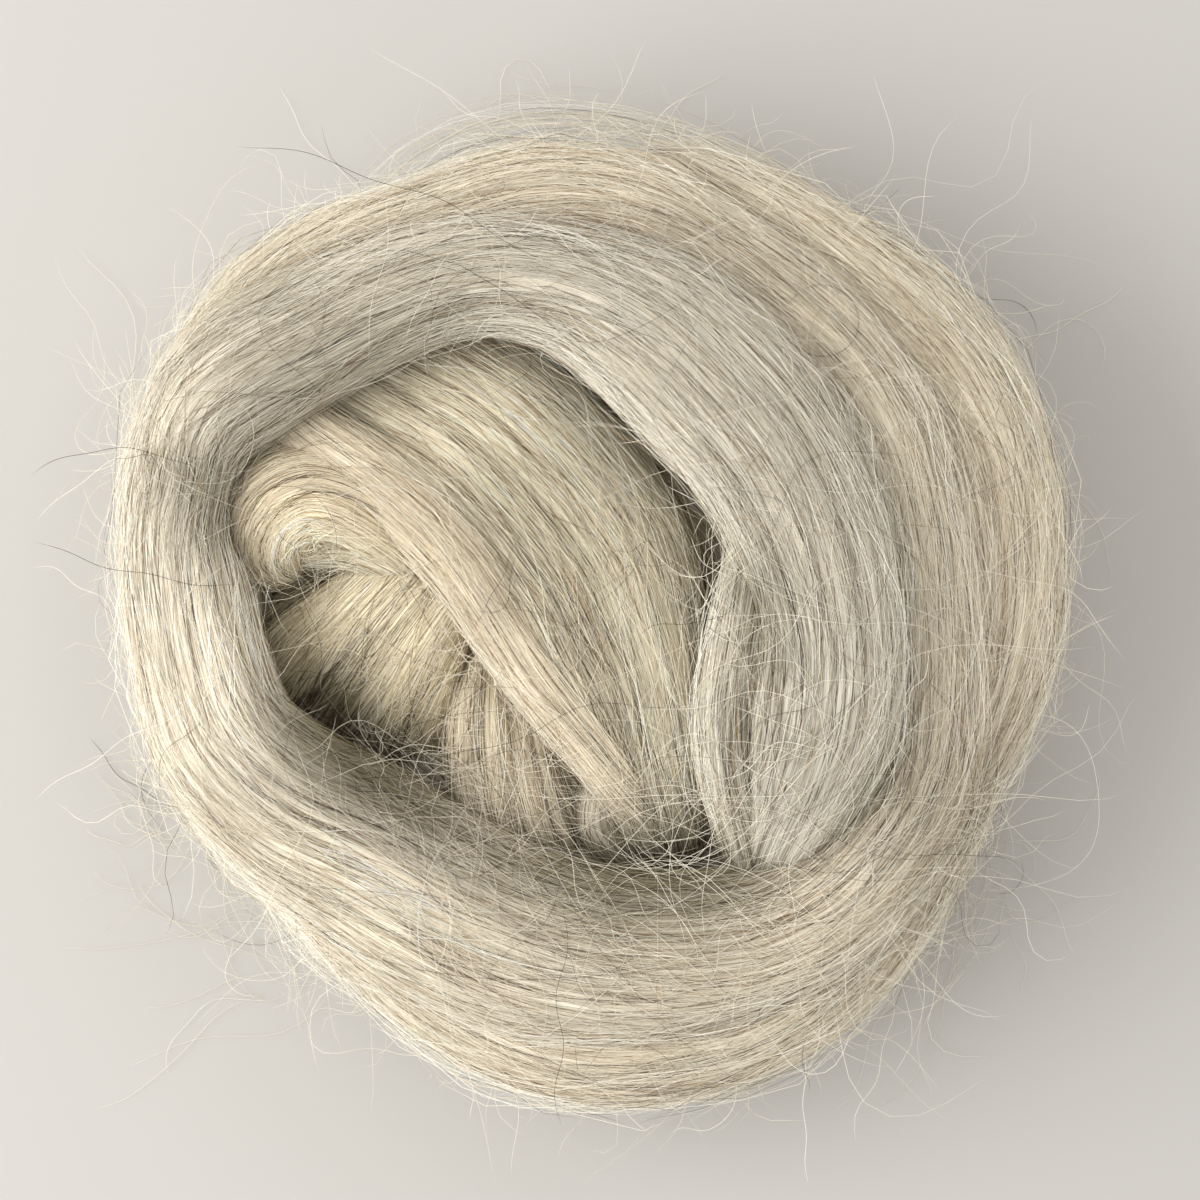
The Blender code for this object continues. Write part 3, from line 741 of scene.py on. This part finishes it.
def mesh_object(name, vertices, faces_of_4, faces_of_3):
    """A smooth mesh from arrays, in metres, and the numbers of its corners' vertices."""
    mesh = bpy.data.meshes.new(name)
    quads = np.asarray(faces_of_4, dtype=np.int32).reshape(-1, 4)
    tris = np.asarray(faces_of_3, dtype=np.int32).reshape(-1, 3)
    loops = np.concatenate([quads.ravel(), tris.ravel()])
    sizes = np.concatenate([np.full(len(quads), 4), np.full(len(tris), 3)])
    mesh.vertices.add(len(vertices))
    mesh.vertices.foreach_set("co", np.asarray(vertices, dtype=np.float32).ravel())
    mesh.loops.add(len(loops))
    mesh.loops.foreach_set("vertex_index", loops.astype(np.int32))
    mesh.polygons.add(len(sizes))
    starts = np.concatenate([[0], np.cumsum(sizes)[:-1]])
    mesh.polygons.foreach_set("loop_start", starts.astype(np.int32))
    mesh.update(calc_edges=True)
    mesh.shade_smooth()
    return add_object(name, mesh), loops


def add_piece(item, material):
    """Give a piece its material and its place in the frame."""
    item.data.materials.append(material)
    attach(item, BODY)
    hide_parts(NODE_NAME)


def painted_light_and_shade(places):
    """How much the patches of painted shade and painted light darken or lighten the wool at rows of
    places.
    """
    painted_shading = np.ones(places.shape[:2])
    for x, y, radius, darker in PAINTED_SHADE_AND_LIGHT:
        away = np.hypot(places[:, :, 0] - x, places[:, :, 1] - y) / radius
        painted_shading *= 1 - darker * np.exp(-away ** 2)
    return painted_shading


def coat_tone(coat, share):
    """The colour that a stretch's coat is multiplied by, at a share of its length."""
    share = share[:, None] ** TINT_POWER
    return np.array(coat[4]) * (1 - share) + np.array(coat[5]) * share


def store_tint(item, colours):
    """Give each point of a mesh its own colour."""
    rgba = np.ones((len(colours), 4))
    rgba[:, :3] = np.clip(colours, 0.0, TINT_LIMIT)
    tint = item.data.color_attributes.new(name="tint", type="FLOAT_COLOR", domain="POINT")
    tint.data.foreach_set("color", rgba.astype(np.float32).ravel())


def strand_body(stretch, coat, material):
    """The closed body of one stretch, with its tint and a map of distances along and round it."""
    count, around = stretch.points.shape[:2]
    index, after, quads = grid_faces(count, around)
    first, last = count * around, count * around + 1
    vertices = np.vstack([stretch.points.reshape(-1, 3), stretch.run[[0, -1], :3]]) * MM
    start_cap = np.stack([after[0], index[0], np.full(around, first)], axis=-1)
    end_cap = np.stack([index[-1], after[-1], np.full(around, last)], axis=-1)
    caps = np.vstack([start_cap, end_cap])
    item, loops = mesh_object("wool_" + stretch.name, vertices, quads, caps)

    tone = coat_tone(coat, stretch.distance / stretch.length)
    # The patches' painted shade and painted light are multiplied into the body's tint.
    colours = painted_light_and_shade(stretch.points)[:, :, None] * tone[:, None, :]
    store_tint(item, np.vstack([colours.reshape(-1, 3), tone[[0, -1]]]))

    girth = max(stretch.perimeter)
    along = np.repeat(stretch.distance, around)
    round_ = np.tile(np.arange(around) / around, count) * girth
    along = np.append(along, [0.0, stretch.length])
    round_ = np.append(round_, [0.0, 0.0])
    place = np.stack([along, round_], axis=-1)
    corners = place[loops].reshape(-1, 2)
    quad_corners = corners[:len(quads) * 4].reshape(-1, 4, 2)
    wraps = np.ptp(quad_corners[:, :, 1], axis=1) > girth / 2
    low = quad_corners[:, :, 1] < girth / 2
    quad_corners[:, :, 1] += np.where(wraps[:, None] & low, girth, 0.0)
    layer = item.data.uv_layers.new(name="flow")
    layer.data.foreach_set("uv", (corners * MM).astype(np.float32).ravel())
    add_piece(item, material)


def build_fibres(name, parts, material):
    """Pieces below PIECE_TRIANGLES, from parts whose fibres all have the same number of points."""
    paths, normals, colours, radii = (np.concatenate(part) for part in zip(*parts))
    each = 2 * FIBRE_SIDES * (paths.shape[1] - 1) + 2
    pieces = math.ceil(len(paths) * each / PIECE_TRIANGLES)
    for number, part in enumerate(np.array_split(np.arange(len(paths)), pieces), 1):
        piece = f"{name}_{number:02d}"
        item = fibre_mesh(piece, paths[part], normals[part], colours[part], radii[part])
        add_piece(item, material)


def fibre_mesh(name, paths, normals, colours, radii):
    """Closed three-sided fibres along paths, with a colour at each point.

    Each has a small patch of its own in a square map, in which its looks can be stored.
    """
    count, points = paths.shape[:2]
    along = unit(np.gradient(paths, axis=1))
    side = unit(np.cross(along, normals))
    up = np.cross(side, along)
    t = np.linspace(-1.0, 1.0, points)
    taper = np.maximum(TIP_RADIUS, 1.0 - np.abs(t) ** TIP_POWER)
    angle = np.arange(FIBRE_SIDES) * 2 * math.pi / FIBRE_SIDES + math.pi / 2
    ring = (side[:, :, None, :] * np.cos(angle)[None, None, :, None]
            + up[:, :, None, :] * np.sin(angle)[None, None, :, None])
    width = radii[:, None, None, None] * taper[None, :, None, None]
    vertices = (paths[:, :, None, :] + ring * width).reshape(-1, 3)

    per_fibre = points * FIBRE_SIDES
    base, _, quads = grid_faces(points, FIBRE_SIDES)
    caps = np.stack([base[0, ::-1], base[-1]])
    shift = (np.arange(count) * per_fibre)[:, None, None]
    item, loops = mesh_object(name, vertices * MM, (quads[None] + shift).reshape(-1, 4),
                              (caps[None] + shift).reshape(-1, 3))

    store_tint(item, np.repeat(np.minimum(colours, 1.0).reshape(-1, 3), FIBRE_SIDES, axis=0))

    cells = math.ceil(math.sqrt(count))
    fibre = loops // per_fibre
    local = loops % per_fibre
    u = (fibre % cells + MAP_MARGIN + MAP_LENGTH * (local // FIBRE_SIDES) / (points - 1)) / cells
    v = (fibre // cells + MAP_MARGIN + MAP_SIDE * (local % FIBRE_SIDES)) / cells
    layer = item.data.uv_layers.new(name="OFBake")
    layer.data.foreach_set("uv", np.stack([u, v], axis=-1).astype(np.float32).ravel())
    return item


def pick_colours(rng, dark):
    """A colour and a thickness for each fibre. Where dark is high more are grey, tan or black."""
    table = np.array(FIBRE_COLOURS)
    lean = np.linspace(-DARK_SPREAD, DARK_SPREAD, len(table))[None, :]
    share = table[:, 3] * np.exp(dark[:, None] * lean)
    share = np.cumsum(share / share.sum(axis=1, keepdims=True), axis=1)
    picked = (rng.random(len(dark))[:, None] > share).sum(axis=1)
    picked = np.minimum(picked, len(table) - 1)
    colours = table[picked, :3] * rng.normal(1.0, COLOUR_SPREAD, (len(dark), 1))
    return colours, table[picked, 4] * rng.uniform(*THICKNESS_SPREAD, len(dark))


def stray_colours(rng, count, dark_share):
    """Single fibres that stand alone are either pale or nearly black."""
    pale = np.array(FIBRE_COLOURS[1][:3]) * rng.normal(*STRAY_PALE, (count, 1))
    dark = np.array(FIBRE_COLOURS[-1][:3]) * rng.uniform(*STRAY_DARK, (count, 1))
    return np.where(rng.random((count, 1)) < dark_share, dark, pale)


def turning(rng, count, points, turn):
    """Smoothly changing headings along each fibre, in radians, that turn by about turn degrees."""
    t = np.linspace(0.0, 1.0, points)[None, :]
    heading = np.zeros((count, points))
    for waves, share in SWINGS:
        size = rng.normal(0.0, share, (count, 1))
        phase = rng.uniform(0.0, 2 * math.pi, (count, 1))
        rate = waves * rng.uniform(*SWING_SPREAD, (count, 1))
        heading += size * np.sin(2 * math.pi * rate * t + phase)
    return math.radians(turn) * heading


def surface_fibres(stretch, others, count, style, coat, rng):
    """Fibres of one style laid on a stretch, without those that lie deep inside another."""
    name, _, points, length, spread, slant, turn, height, lift, thickness = style
    _, _, unruly, longest, _, _, dark, locks = coat
    weight = stretch.perimeter * np.gradient(stretch.distance)
    chance = np.cumsum(weight) / np.sum(weight)
    middle = np.interp(rng.random(count), chance, stretch.distance)
    around = rng.random(count)
    place = stretch.lookup(stretch.points, middle, around)
    normal = stretch.lookup(stretch.normals, middle, around)
    keep = (place[:, 2] > LOWEST_START) & (normal[:, 2] > FACING_DOWN)
    if name == "fringe":
        keep &= np.sum(normal * unit(place * (1.0, 1.0, 0.0)), axis=1) > FRINGE_FACING
    else:
        keep &= (normal[:, 2] > FACING_UP) | (rng.random(count) < SIDE_SHARE)
    for other in others:
        keep &= other.holds(place, middle if other is stretch else None) > COVERED
    middle, around = middle[keep], around[keep]
    count = len(middle)

    least, most = LENGTH_LIMITS
    reach = np.clip(rng.normal(length, spread, count), length * least, length * most)
    reach = np.minimum(reach, longest * rng.uniform(*LONGEST_SPREAD, count))
    middle = np.clip(middle, reach * 0.5, stretch.length - reach * 0.5)
    t = np.linspace(-0.5, 0.5, points)[None, :]
    heading = np.radians(rng.normal(0.0, slant * unruly, (count, 1)))
    heading = heading + turning(rng, count, points, turn * unruly)
    step = reach[:, None] / (points - 1)
    walk_along = np.cumsum(np.cos(heading), axis=1) * step
    walk_across = np.cumsum(np.sin(heading), axis=1) * step
    along = middle[:, None] + walk_along - walk_along.mean(axis=1, keepdims=True)
    across = walk_across - walk_across.mean(axis=1, keepdims=True)
    girth = np.interp(along, stretch.distance, stretch.perimeter)
    spin = around[:, None] + across / girth

    phase = rng.uniform(0.0, 2 * math.pi, (count, 1))
    wave, rate = HEIGHT_WAVE
    rise = np.abs(rng.normal(0.0, height, (count, 1))) * (1.0 + wave * np.sin(rate * t + phase))
    tip = np.where(rng.random((count, 1)) < 0.5, t + 0.5, 0.5 - t)
    rise = rise + lift * np.abs(rng.normal(0.0, 1.0, (count, 1))) * tip ** LIFT_POWER
    if lift == 0.0:
        rise = rise - END_DIP * np.abs(2 * t) ** TIP_POWER
    places = stretch.lookup(stretch.points, along, spin)
    normals = unit(stretch.lookup(stretch.normals, along, spin))
    paths = places + normals * rise[:, :, None]
    paths[:, :, 2] = np.maximum(paths[:, :, 2], FLOOR_CLEAR)
    streak = np.zeros(count)
    for number, (strength, cell_length, cells) in enumerate(LOCKS, LOCKS_SEED):
        seed = stretch.seed + number
        streak += strength * streak_noise(seed, middle, around, cell_length, cells, 0.0)
    # The locks lighten and darken the tone: partly the locks' own colour, partly painted shade of
    # the furrows between them.
    tone = coat_tone(coat, middle / stretch.length) * (1 - locks * streak)[:, None]
    # Painted shade and light from the patches: each point's colour is darkened or lightened, and
    # under painted shade more dark fibres are picked and the blue falls more.
    painted_shading = painted_light_and_shade(paths)
    darker = LOCKS_DARK * locks * streak + SHADE_DARK * (1 - painted_shading.mean(axis=1))
    colours, widths = pick_colours(rng, darker + dark)
    hue = np.minimum(painted_shading, 1.0)[:, :, None] ** SHADE_HUE
    colours = (colours * tone)[:, None, :] * painted_shading[:, :, None] * hue
    return paths, normals, colours, FIBRE_RADIUS * thickness * widths


def free_fibres(paths, colours, radii):
    """Fibres that lie on no surface, each in one colour, as build_fibres takes them."""
    normals = np.zeros_like(paths)
    normals[:, :, 2] = 1.0
    return paths, normals, np.repeat(colours[:, None, :], paths.shape[1], axis=1), radii


def veil_fibres(veil, count, points, rng):
    """Fibres spread through a thin veil instead of on a surface."""
    length = np.clip(rng.normal(*VEIL_LENGTH, count), VEIL_SHORTEST, veil.length * 0.9)
    middle = veil.length * rng.random(count) ** 0.6
    t = np.linspace(-0.5, 0.5, points)[None, :]
    along = np.clip(middle[:, None] + length[:, None] * t, 0.0, veil.length)
    around = rng.random((count, 1)) + rng.normal(0.0, 0.15, (count, 1)) * t
    depth = np.sqrt(rng.random((count, 1))) + rng.normal(0.0, 0.5, (count, 1)) * t
    surface = veil.lookup(veil.points, along, around)
    centre = np.stack([np.interp(along, veil.distance, veil.run[:, k]) for k in range(3)], axis=-1)
    paths = centre + (surface - centre) * depth[:, :, None]
    paths[:, :, 2] = np.maximum(paths[:, :, 2], FLOOR_CLEAR)
    colours, widths = pick_colours(rng, np.full(count, VEIL_DARK))
    return free_fibres(paths, colours, FIBRE_RADIUS * VEIL_THICKNESS * widths)


def free_paths(starts, ways, lengths, turn, points, rng):
    """Curly paths in space, each from a start and a first direction."""
    count = len(starts)
    sideways = unit(np.cross(ways, (0.1, 0.2, 1.0)))
    upward = np.cross(sideways, ways)
    swing = turning(rng, count, points, turn)[:, :, None]
    nod = turning(rng, count, points, turn * NOD_SHARE)[:, :, None]
    swing = swing - swing[:, :1]
    nod = nod - nod[:, :1]
    way = (ways[:, None] * np.cos(swing) + sideways[:, None] * np.sin(swing)) * np.cos(nod)
    way = way + upward[:, None] * np.sin(nod)
    step = (lengths / (points - 1))[:, None, None]
    return starts[:, None, :] + np.cumsum(way, axis=1) * step - way[:, :1] * step


def halo_fibres(stretch, others, halo, rng):
    """Curly fibres that leave the outer side of a stretch and stand off it."""
    _, _, count, points, length, turn, angle = halo
    tries = count * HALO_TRIES
    along = rng.uniform(0.0, stretch.length, tries)
    around = rng.random(tries)
    starts = stretch.lookup(stretch.points, along, around)
    normals = unit(stretch.lookup(stretch.normals, along, around))
    outward = unit(starts * (1.0, 1.0, 0.0))
    facing = np.sum(normals * outward, axis=1)
    keep = (facing > HALO_FACING) & (starts[:, 2] > HALO_LOWEST)
    for other in others:
        keep &= other.holds(starts + normals * HALO_CLEAR) > 1.0
    chosen = np.flatnonzero(keep)[:count]
    starts, normals = starts[chosen], normals[chosen]
    flow = unit(stretch.lookup(stretch.flow, along[chosen], around[chosen]))
    count = len(chosen)
    flow = flow * np.where(rng.random((count, 1)) < 0.5, 1.0, -1.0)
    off = np.radians(np.abs(rng.normal(angle, angle * 0.6, (count, 1))))
    ways = unit(flow * np.cos(off) + normals * np.sin(off))
    lengths = np.clip(rng.gamma(4.0, length / 4.0, count), HALO_SHORTEST, length * HALO_LONGEST)
    paths = free_paths(starts, ways, lengths, turn, points, rng)
    return finish_strays(paths, HALO_DARK, rng)


def finish_strays(paths, dark_share, rng):
    """Strays that stay over the floor and within reach, with their colours and thickness."""
    paths[:, :, 2] = np.maximum(paths[:, :, 2], FLOOR_CLEAR)
    low, high = np.array(CAD_BOX) / MM
    room = (high - low) * REACH_SHARE + REACH_MORE
    under = paths.max(axis=1) < high + room
    over = paths.min(axis=1) > low - room
    over[:, 2] = True
    within = under & over
    paths = paths[within.all(axis=1)]
    count = len(paths)
    radii = FIBRE_RADIUS * rng.uniform(*STRAY_THICKNESS, count)
    return free_fibres(paths, stray_colours(rng, count, dark_share), radii)


def wool_tree(stretches):
    """All the strand's surfaces in one search tree, in millimetres, to lay strays on."""
    vertices, faces = [], []
    for stretch in stretches:
        quads = grid_faces(*stretch.points.shape[:2])[2] + len(vertices)
        vertices.extend(stretch.points.reshape(-1, 3).tolist())
        faces.extend(quads.tolist())
    return BVHTree.FromPolygons(vertices, faces)


def laid_on_wool(paths, tree, lift):
    """Paths laid over the nest from above. In the air they fall no faster than STRAY_DROOP."""
    down = Vector((0.0, 0.0, -1.0))
    for path in paths:
        heights = []
        for x, y, _ in path:
            hit = tree.ray_cast(Vector((x, y, ABOVE_ALL)), down)[0]
            heights.append((hit.z if hit else 0.0) + lift)
        step = np.linalg.norm(path[1, :2] - path[0, :2]) * STRAY_DROOP
        for order in (range(1, len(path)), range(len(path) - 2, -1, -1)):
            for i in order:
                before = i - 1 if order.step > 0 else i + 1
                heights[i] = max(heights[i], heights[before] - step)
        path[:, 2] = heights
    return paths


def tangle_fibres(tangle, tree, rng):
    """Curly fibres scattered over a patch of the nest."""
    x, y, radius, count, length, heading, turn, dark = tangle
    spot = rng.uniform(0.0, 2 * math.pi, count)
    away = radius * np.sqrt(rng.random(count))
    starts = np.stack([x + away * np.cos(spot), y + away * np.sin(spot), np.zeros(count)], axis=-1)
    way = np.radians(heading + rng.normal(0.0, TANGLE_SPREAD, count))
    lengths = np.clip(rng.gamma(5.0, length / 5.0, count), TANGLE_SHORTEST, length * TANGLE_LONGEST)
    angles = way[:, None] + turning(rng, count, TANGLE_POINTS, turn)
    step = (lengths / (TANGLE_POINTS - 1))[:, None]
    paths = np.zeros((count, TANGLE_POINTS, 3))
    paths[:, :, 0] = starts[:, :1] + np.cumsum(np.cos(angles), axis=1) * step
    paths[:, :, 1] = starts[:, 1:2] + np.cumsum(np.sin(angles), axis=1) * step
    return finish_strays(laid_on_wool(paths, tree, STRAY_LIFT), dark, rng)


def long_strays(tree):
    """The single long strays, each from its row of the table."""
    t = np.linspace(0.0, 1.0, LONG_STRAY_POINTS)
    paths, colours = [], []
    for x, y, heading, length, turn, wave, dark in LONG_STRAYS:
        angles = np.radians(heading + turn * t + wave * np.sin(2 * math.pi * LONG_STRAY_WAVES * t))
        step = length / (LONG_STRAY_POINTS - 1)
        path = np.zeros((LONG_STRAY_POINTS, 3))
        path[:, 0] = x + np.cumsum(np.cos(angles)) * step
        path[:, 1] = y + np.cumsum(np.sin(angles)) * step
        paths.append(path)
        colours.append(FIBRE_COLOURS[-1][:3] if dark else FIBRE_COLOURS[0][:3])
    paths = laid_on_wool(np.array(paths), tree, STRAY_LIFT)
    return free_fibres(paths, np.array(colours), np.full(len(paths), FIBRE_RADIUS))


def new_material(name):
    """A new material with its nodes and links."""
    material = bpy.data.materials.new(name)
    material.use_nodes = True
    return material, material.node_tree.nodes, material.node_tree.links


def strand_material():
    """The wool under the single fibres: streaks along the strand, in colour and in relief. Its dark
    streaks are partly painted shade between the fibres, and its tint carries the patches' painted
    shade and light.
    """
    material, nodes, links = new_material("combed_wool")
    shader = nodes["Principled BSDF"]
    shader.inputs["Roughness"].default_value = 0.75
    flow = nodes.new("ShaderNodeUVMap")
    flow.uv_map = "flow"

    def streaks(along, across):
        """Noise in streaks: how many for each metre along the strand and round it."""
        stretch = nodes.new("ShaderNodeMapping")
        stretch.inputs["Scale"].default_value = (along, across, 1.0)
        noise = nodes.new("ShaderNodeTexNoise")
        noise.noise_dimensions = "2D"
        noise.inputs["Scale"].default_value = 1.0
        noise.inputs["Detail"].default_value = 1.0
        links.new(flow.outputs["UV"], stretch.inputs["Vector"])
        links.new(stretch.outputs["Vector"], noise.inputs["Vector"])
        return noise

    def multiply(first, second):
        """The product of two colours."""
        mix = nodes.new("ShaderNodeMix")
        mix.data_type = "RGBA"
        mix.blend_type = "MULTIPLY"
        mix.inputs["Factor"].default_value = 1.0
        links.new(first, mix.inputs["A"])
        links.new(second, mix.inputs["B"])
        return mix.outputs["Result"]

    fine = streaks(*FINE_STREAKS)
    broad = streaks(*BROAD_STREAKS)
    ramp = nodes.new("ShaderNodeValToRGB")
    stops = ramp.color_ramp.elements
    while len(stops) < len(STREAK_COLOURS):
        stops.new(0.5)
    for stop, (position, colour) in zip(stops, STREAK_COLOURS):
        stop.position = position
        stop.color = colour
    links.new(fine.outputs["Fac"], ramp.inputs["Fac"])
    tone = nodes.new("ShaderNodeMapRange")
    tone.inputs["From Min"].default_value = 0.3
    tone.inputs["From Max"].default_value = 0.7
    tone.inputs["To Min"].default_value = 0.86
    tone.inputs["To Max"].default_value = 1.10
    links.new(broad.outputs["Fac"], tone.inputs["Value"])
    # The tint brings in the patches' painted shade and painted light.
    tint = nodes.new("ShaderNodeAttribute")
    tint.attribute_name = "tint"
    streaked = multiply(ramp.outputs["Color"], tone.outputs["Result"])
    tinted = multiply(streaked, tint.outputs["Color"])
    links.new(tinted, shader.inputs["Base Color"])
    bump = nodes.new("ShaderNodeBump")
    bump.inputs["Strength"].default_value = 0.8
    bump.inputs["Distance"].default_value = 0.0002
    links.new(fine.outputs["Fac"], bump.inputs["Height"])
    links.new(bump.outputs["Normal"], shader.inputs["Normal"])
    return material


def fibre_material():
    """Single fibres: each has its own tint, with a soft sheen."""
    material, nodes, links = new_material("wool_fibre")
    shader = nodes["Principled BSDF"]
    shader.inputs["Roughness"].default_value = 0.80
    shader.inputs["Specular IOR Level"].default_value = 0.15
    # For fibres laid on the strand, the tint also carries the patches' painted shade and painted
    # light.
    tint = nodes.new("ShaderNodeAttribute")
    tint.attribute_name = "tint"
    links.new(tint.outputs["Color"], shader.inputs["Base Color"])
    return material


def floor():
    """A plain pale floor."""
    half = FLOOR_HALF_SIDE
    corners = [(-half, -half, 0), (half, -half, 0), (half, half, 0), (-half, half, 0)]
    mesh = bpy.data.meshes.new("floor")
    mesh.from_pydata(corners, [], [(0, 1, 2, 3)])
    item = add_object("floor", mesh)
    material, nodes, _ = new_material("floor_paint")
    nodes["Principled BSDF"].inputs["Base Color"].default_value = FLOOR_COLOUR
    nodes["Principled BSDF"].inputs["Roughness"].default_value = 0.9
    item.data.materials.append(material)


def lights():
    """Two large soft lamps and an even sky."""
    for name, place, side, power in LAMPS:
        lamp = bpy.data.lights.new(name, "AREA")
        lamp.size = side
        lamp.energy = power
        item = add_object(name, lamp)
        item.location = place
        item.rotation_mode = "QUATERNION"
        item.rotation_quaternion = (LAMP_TARGET - item.location).to_track_quat("-Z", "Y")
    world = bpy.data.worlds.new("studio")
    world.use_nodes = True
    background = world.node_tree.nodes["Background"]
    background.inputs["Color"].default_value = WORLD_COLOUR
    background.inputs["Strength"].default_value = WORLD_STRENGTH
    bpy.context.scene.world = world
    bpy.context.scene.view_settings.view_transform = "Standard"


def camera():
    """Straight above the nest, in a frame 176 mm wide at half its height."""
    data = bpy.data.cameras.new("camera")
    data.sensor_width = CAMERA_SENSOR
    data.lens = CAMERA_LENS
    item = add_object("camera", data)
    item.location = CAMERA_PLACE
    bpy.context.scene.camera = item


TABLES = {
    "base_turn": BASE_TURN,
    "coil": COIL,
    "strap": STRAP,
    "strap_edge": STRAP_EDGE,
    "fold": FOLD,
    "underfold": UNDERFOLD,
    "bed": BED,
    "left_tuck": LEFT_TUCK,
    "right_tuck": RIGHT_TUCK,
    "curl": CURL,
    "inner_lip": INNER_LIP,
    "heart": heart_rows(),
}


def build_coats(stretches, material, rng):
    """The fibres that lie on the strand, one style after another."""
    for style in STYLES:
        parts = []
        for coat in COAT:
            if style[0] == "fringe" and coat[0] not in FRINGED:
                continue
            stretch = stretches[coat[0]]
            count = int(stretch.area() * coat[1] * style[1])
            parts.append(surface_fibres(stretch, stretches.values(), count, style, coat, rng))
        if style[0] == "loose":
            veil = Stretch("veil", VEIL, VEIL_SEED)
            parts.append(veil_fibres(veil, VEIL_FIBRES, style[2], rng))
        build_fibres("fibres_" + style[0], parts, material)


def build_strays(stretches, material, rng):
    """The fibres that stand off the nest or are thrown over it."""
    for name in ("fuzz", "halo"):
        parts = [halo_fibres(stretches[row[1]], stretches.values(), row, rng)
                 for row in HALO if row[0] == name]
        build_fibres(name, parts, material)
    tree = wool_tree(stretches.values())
    build_fibres("tangle", [tangle_fibres(row, tree, rng) for row in TANGLES], material)
    build_fibres("long_strays", [long_strays(tree)], material)


def build():
    """The strand's bodies and all their fibres."""
    rng = np.random.default_rng(SEED)
    stretches = {}
    for number, (name, rows) in enumerate(TABLES.items()):
        stretches[name] = Stretch(name, rows, SEED_STEP * number)
    wool = strand_material()
    fibre = fibre_material()
    coats = {coat[0]: coat for coat in COAT}
    for name, stretch in stretches.items():
        strand_body(stretch, coats[name], wool)
    build_coats(stretches, fibre, rng)
    build_strays(stretches, fibre, rng)


camera()
floor()
lights()
build()
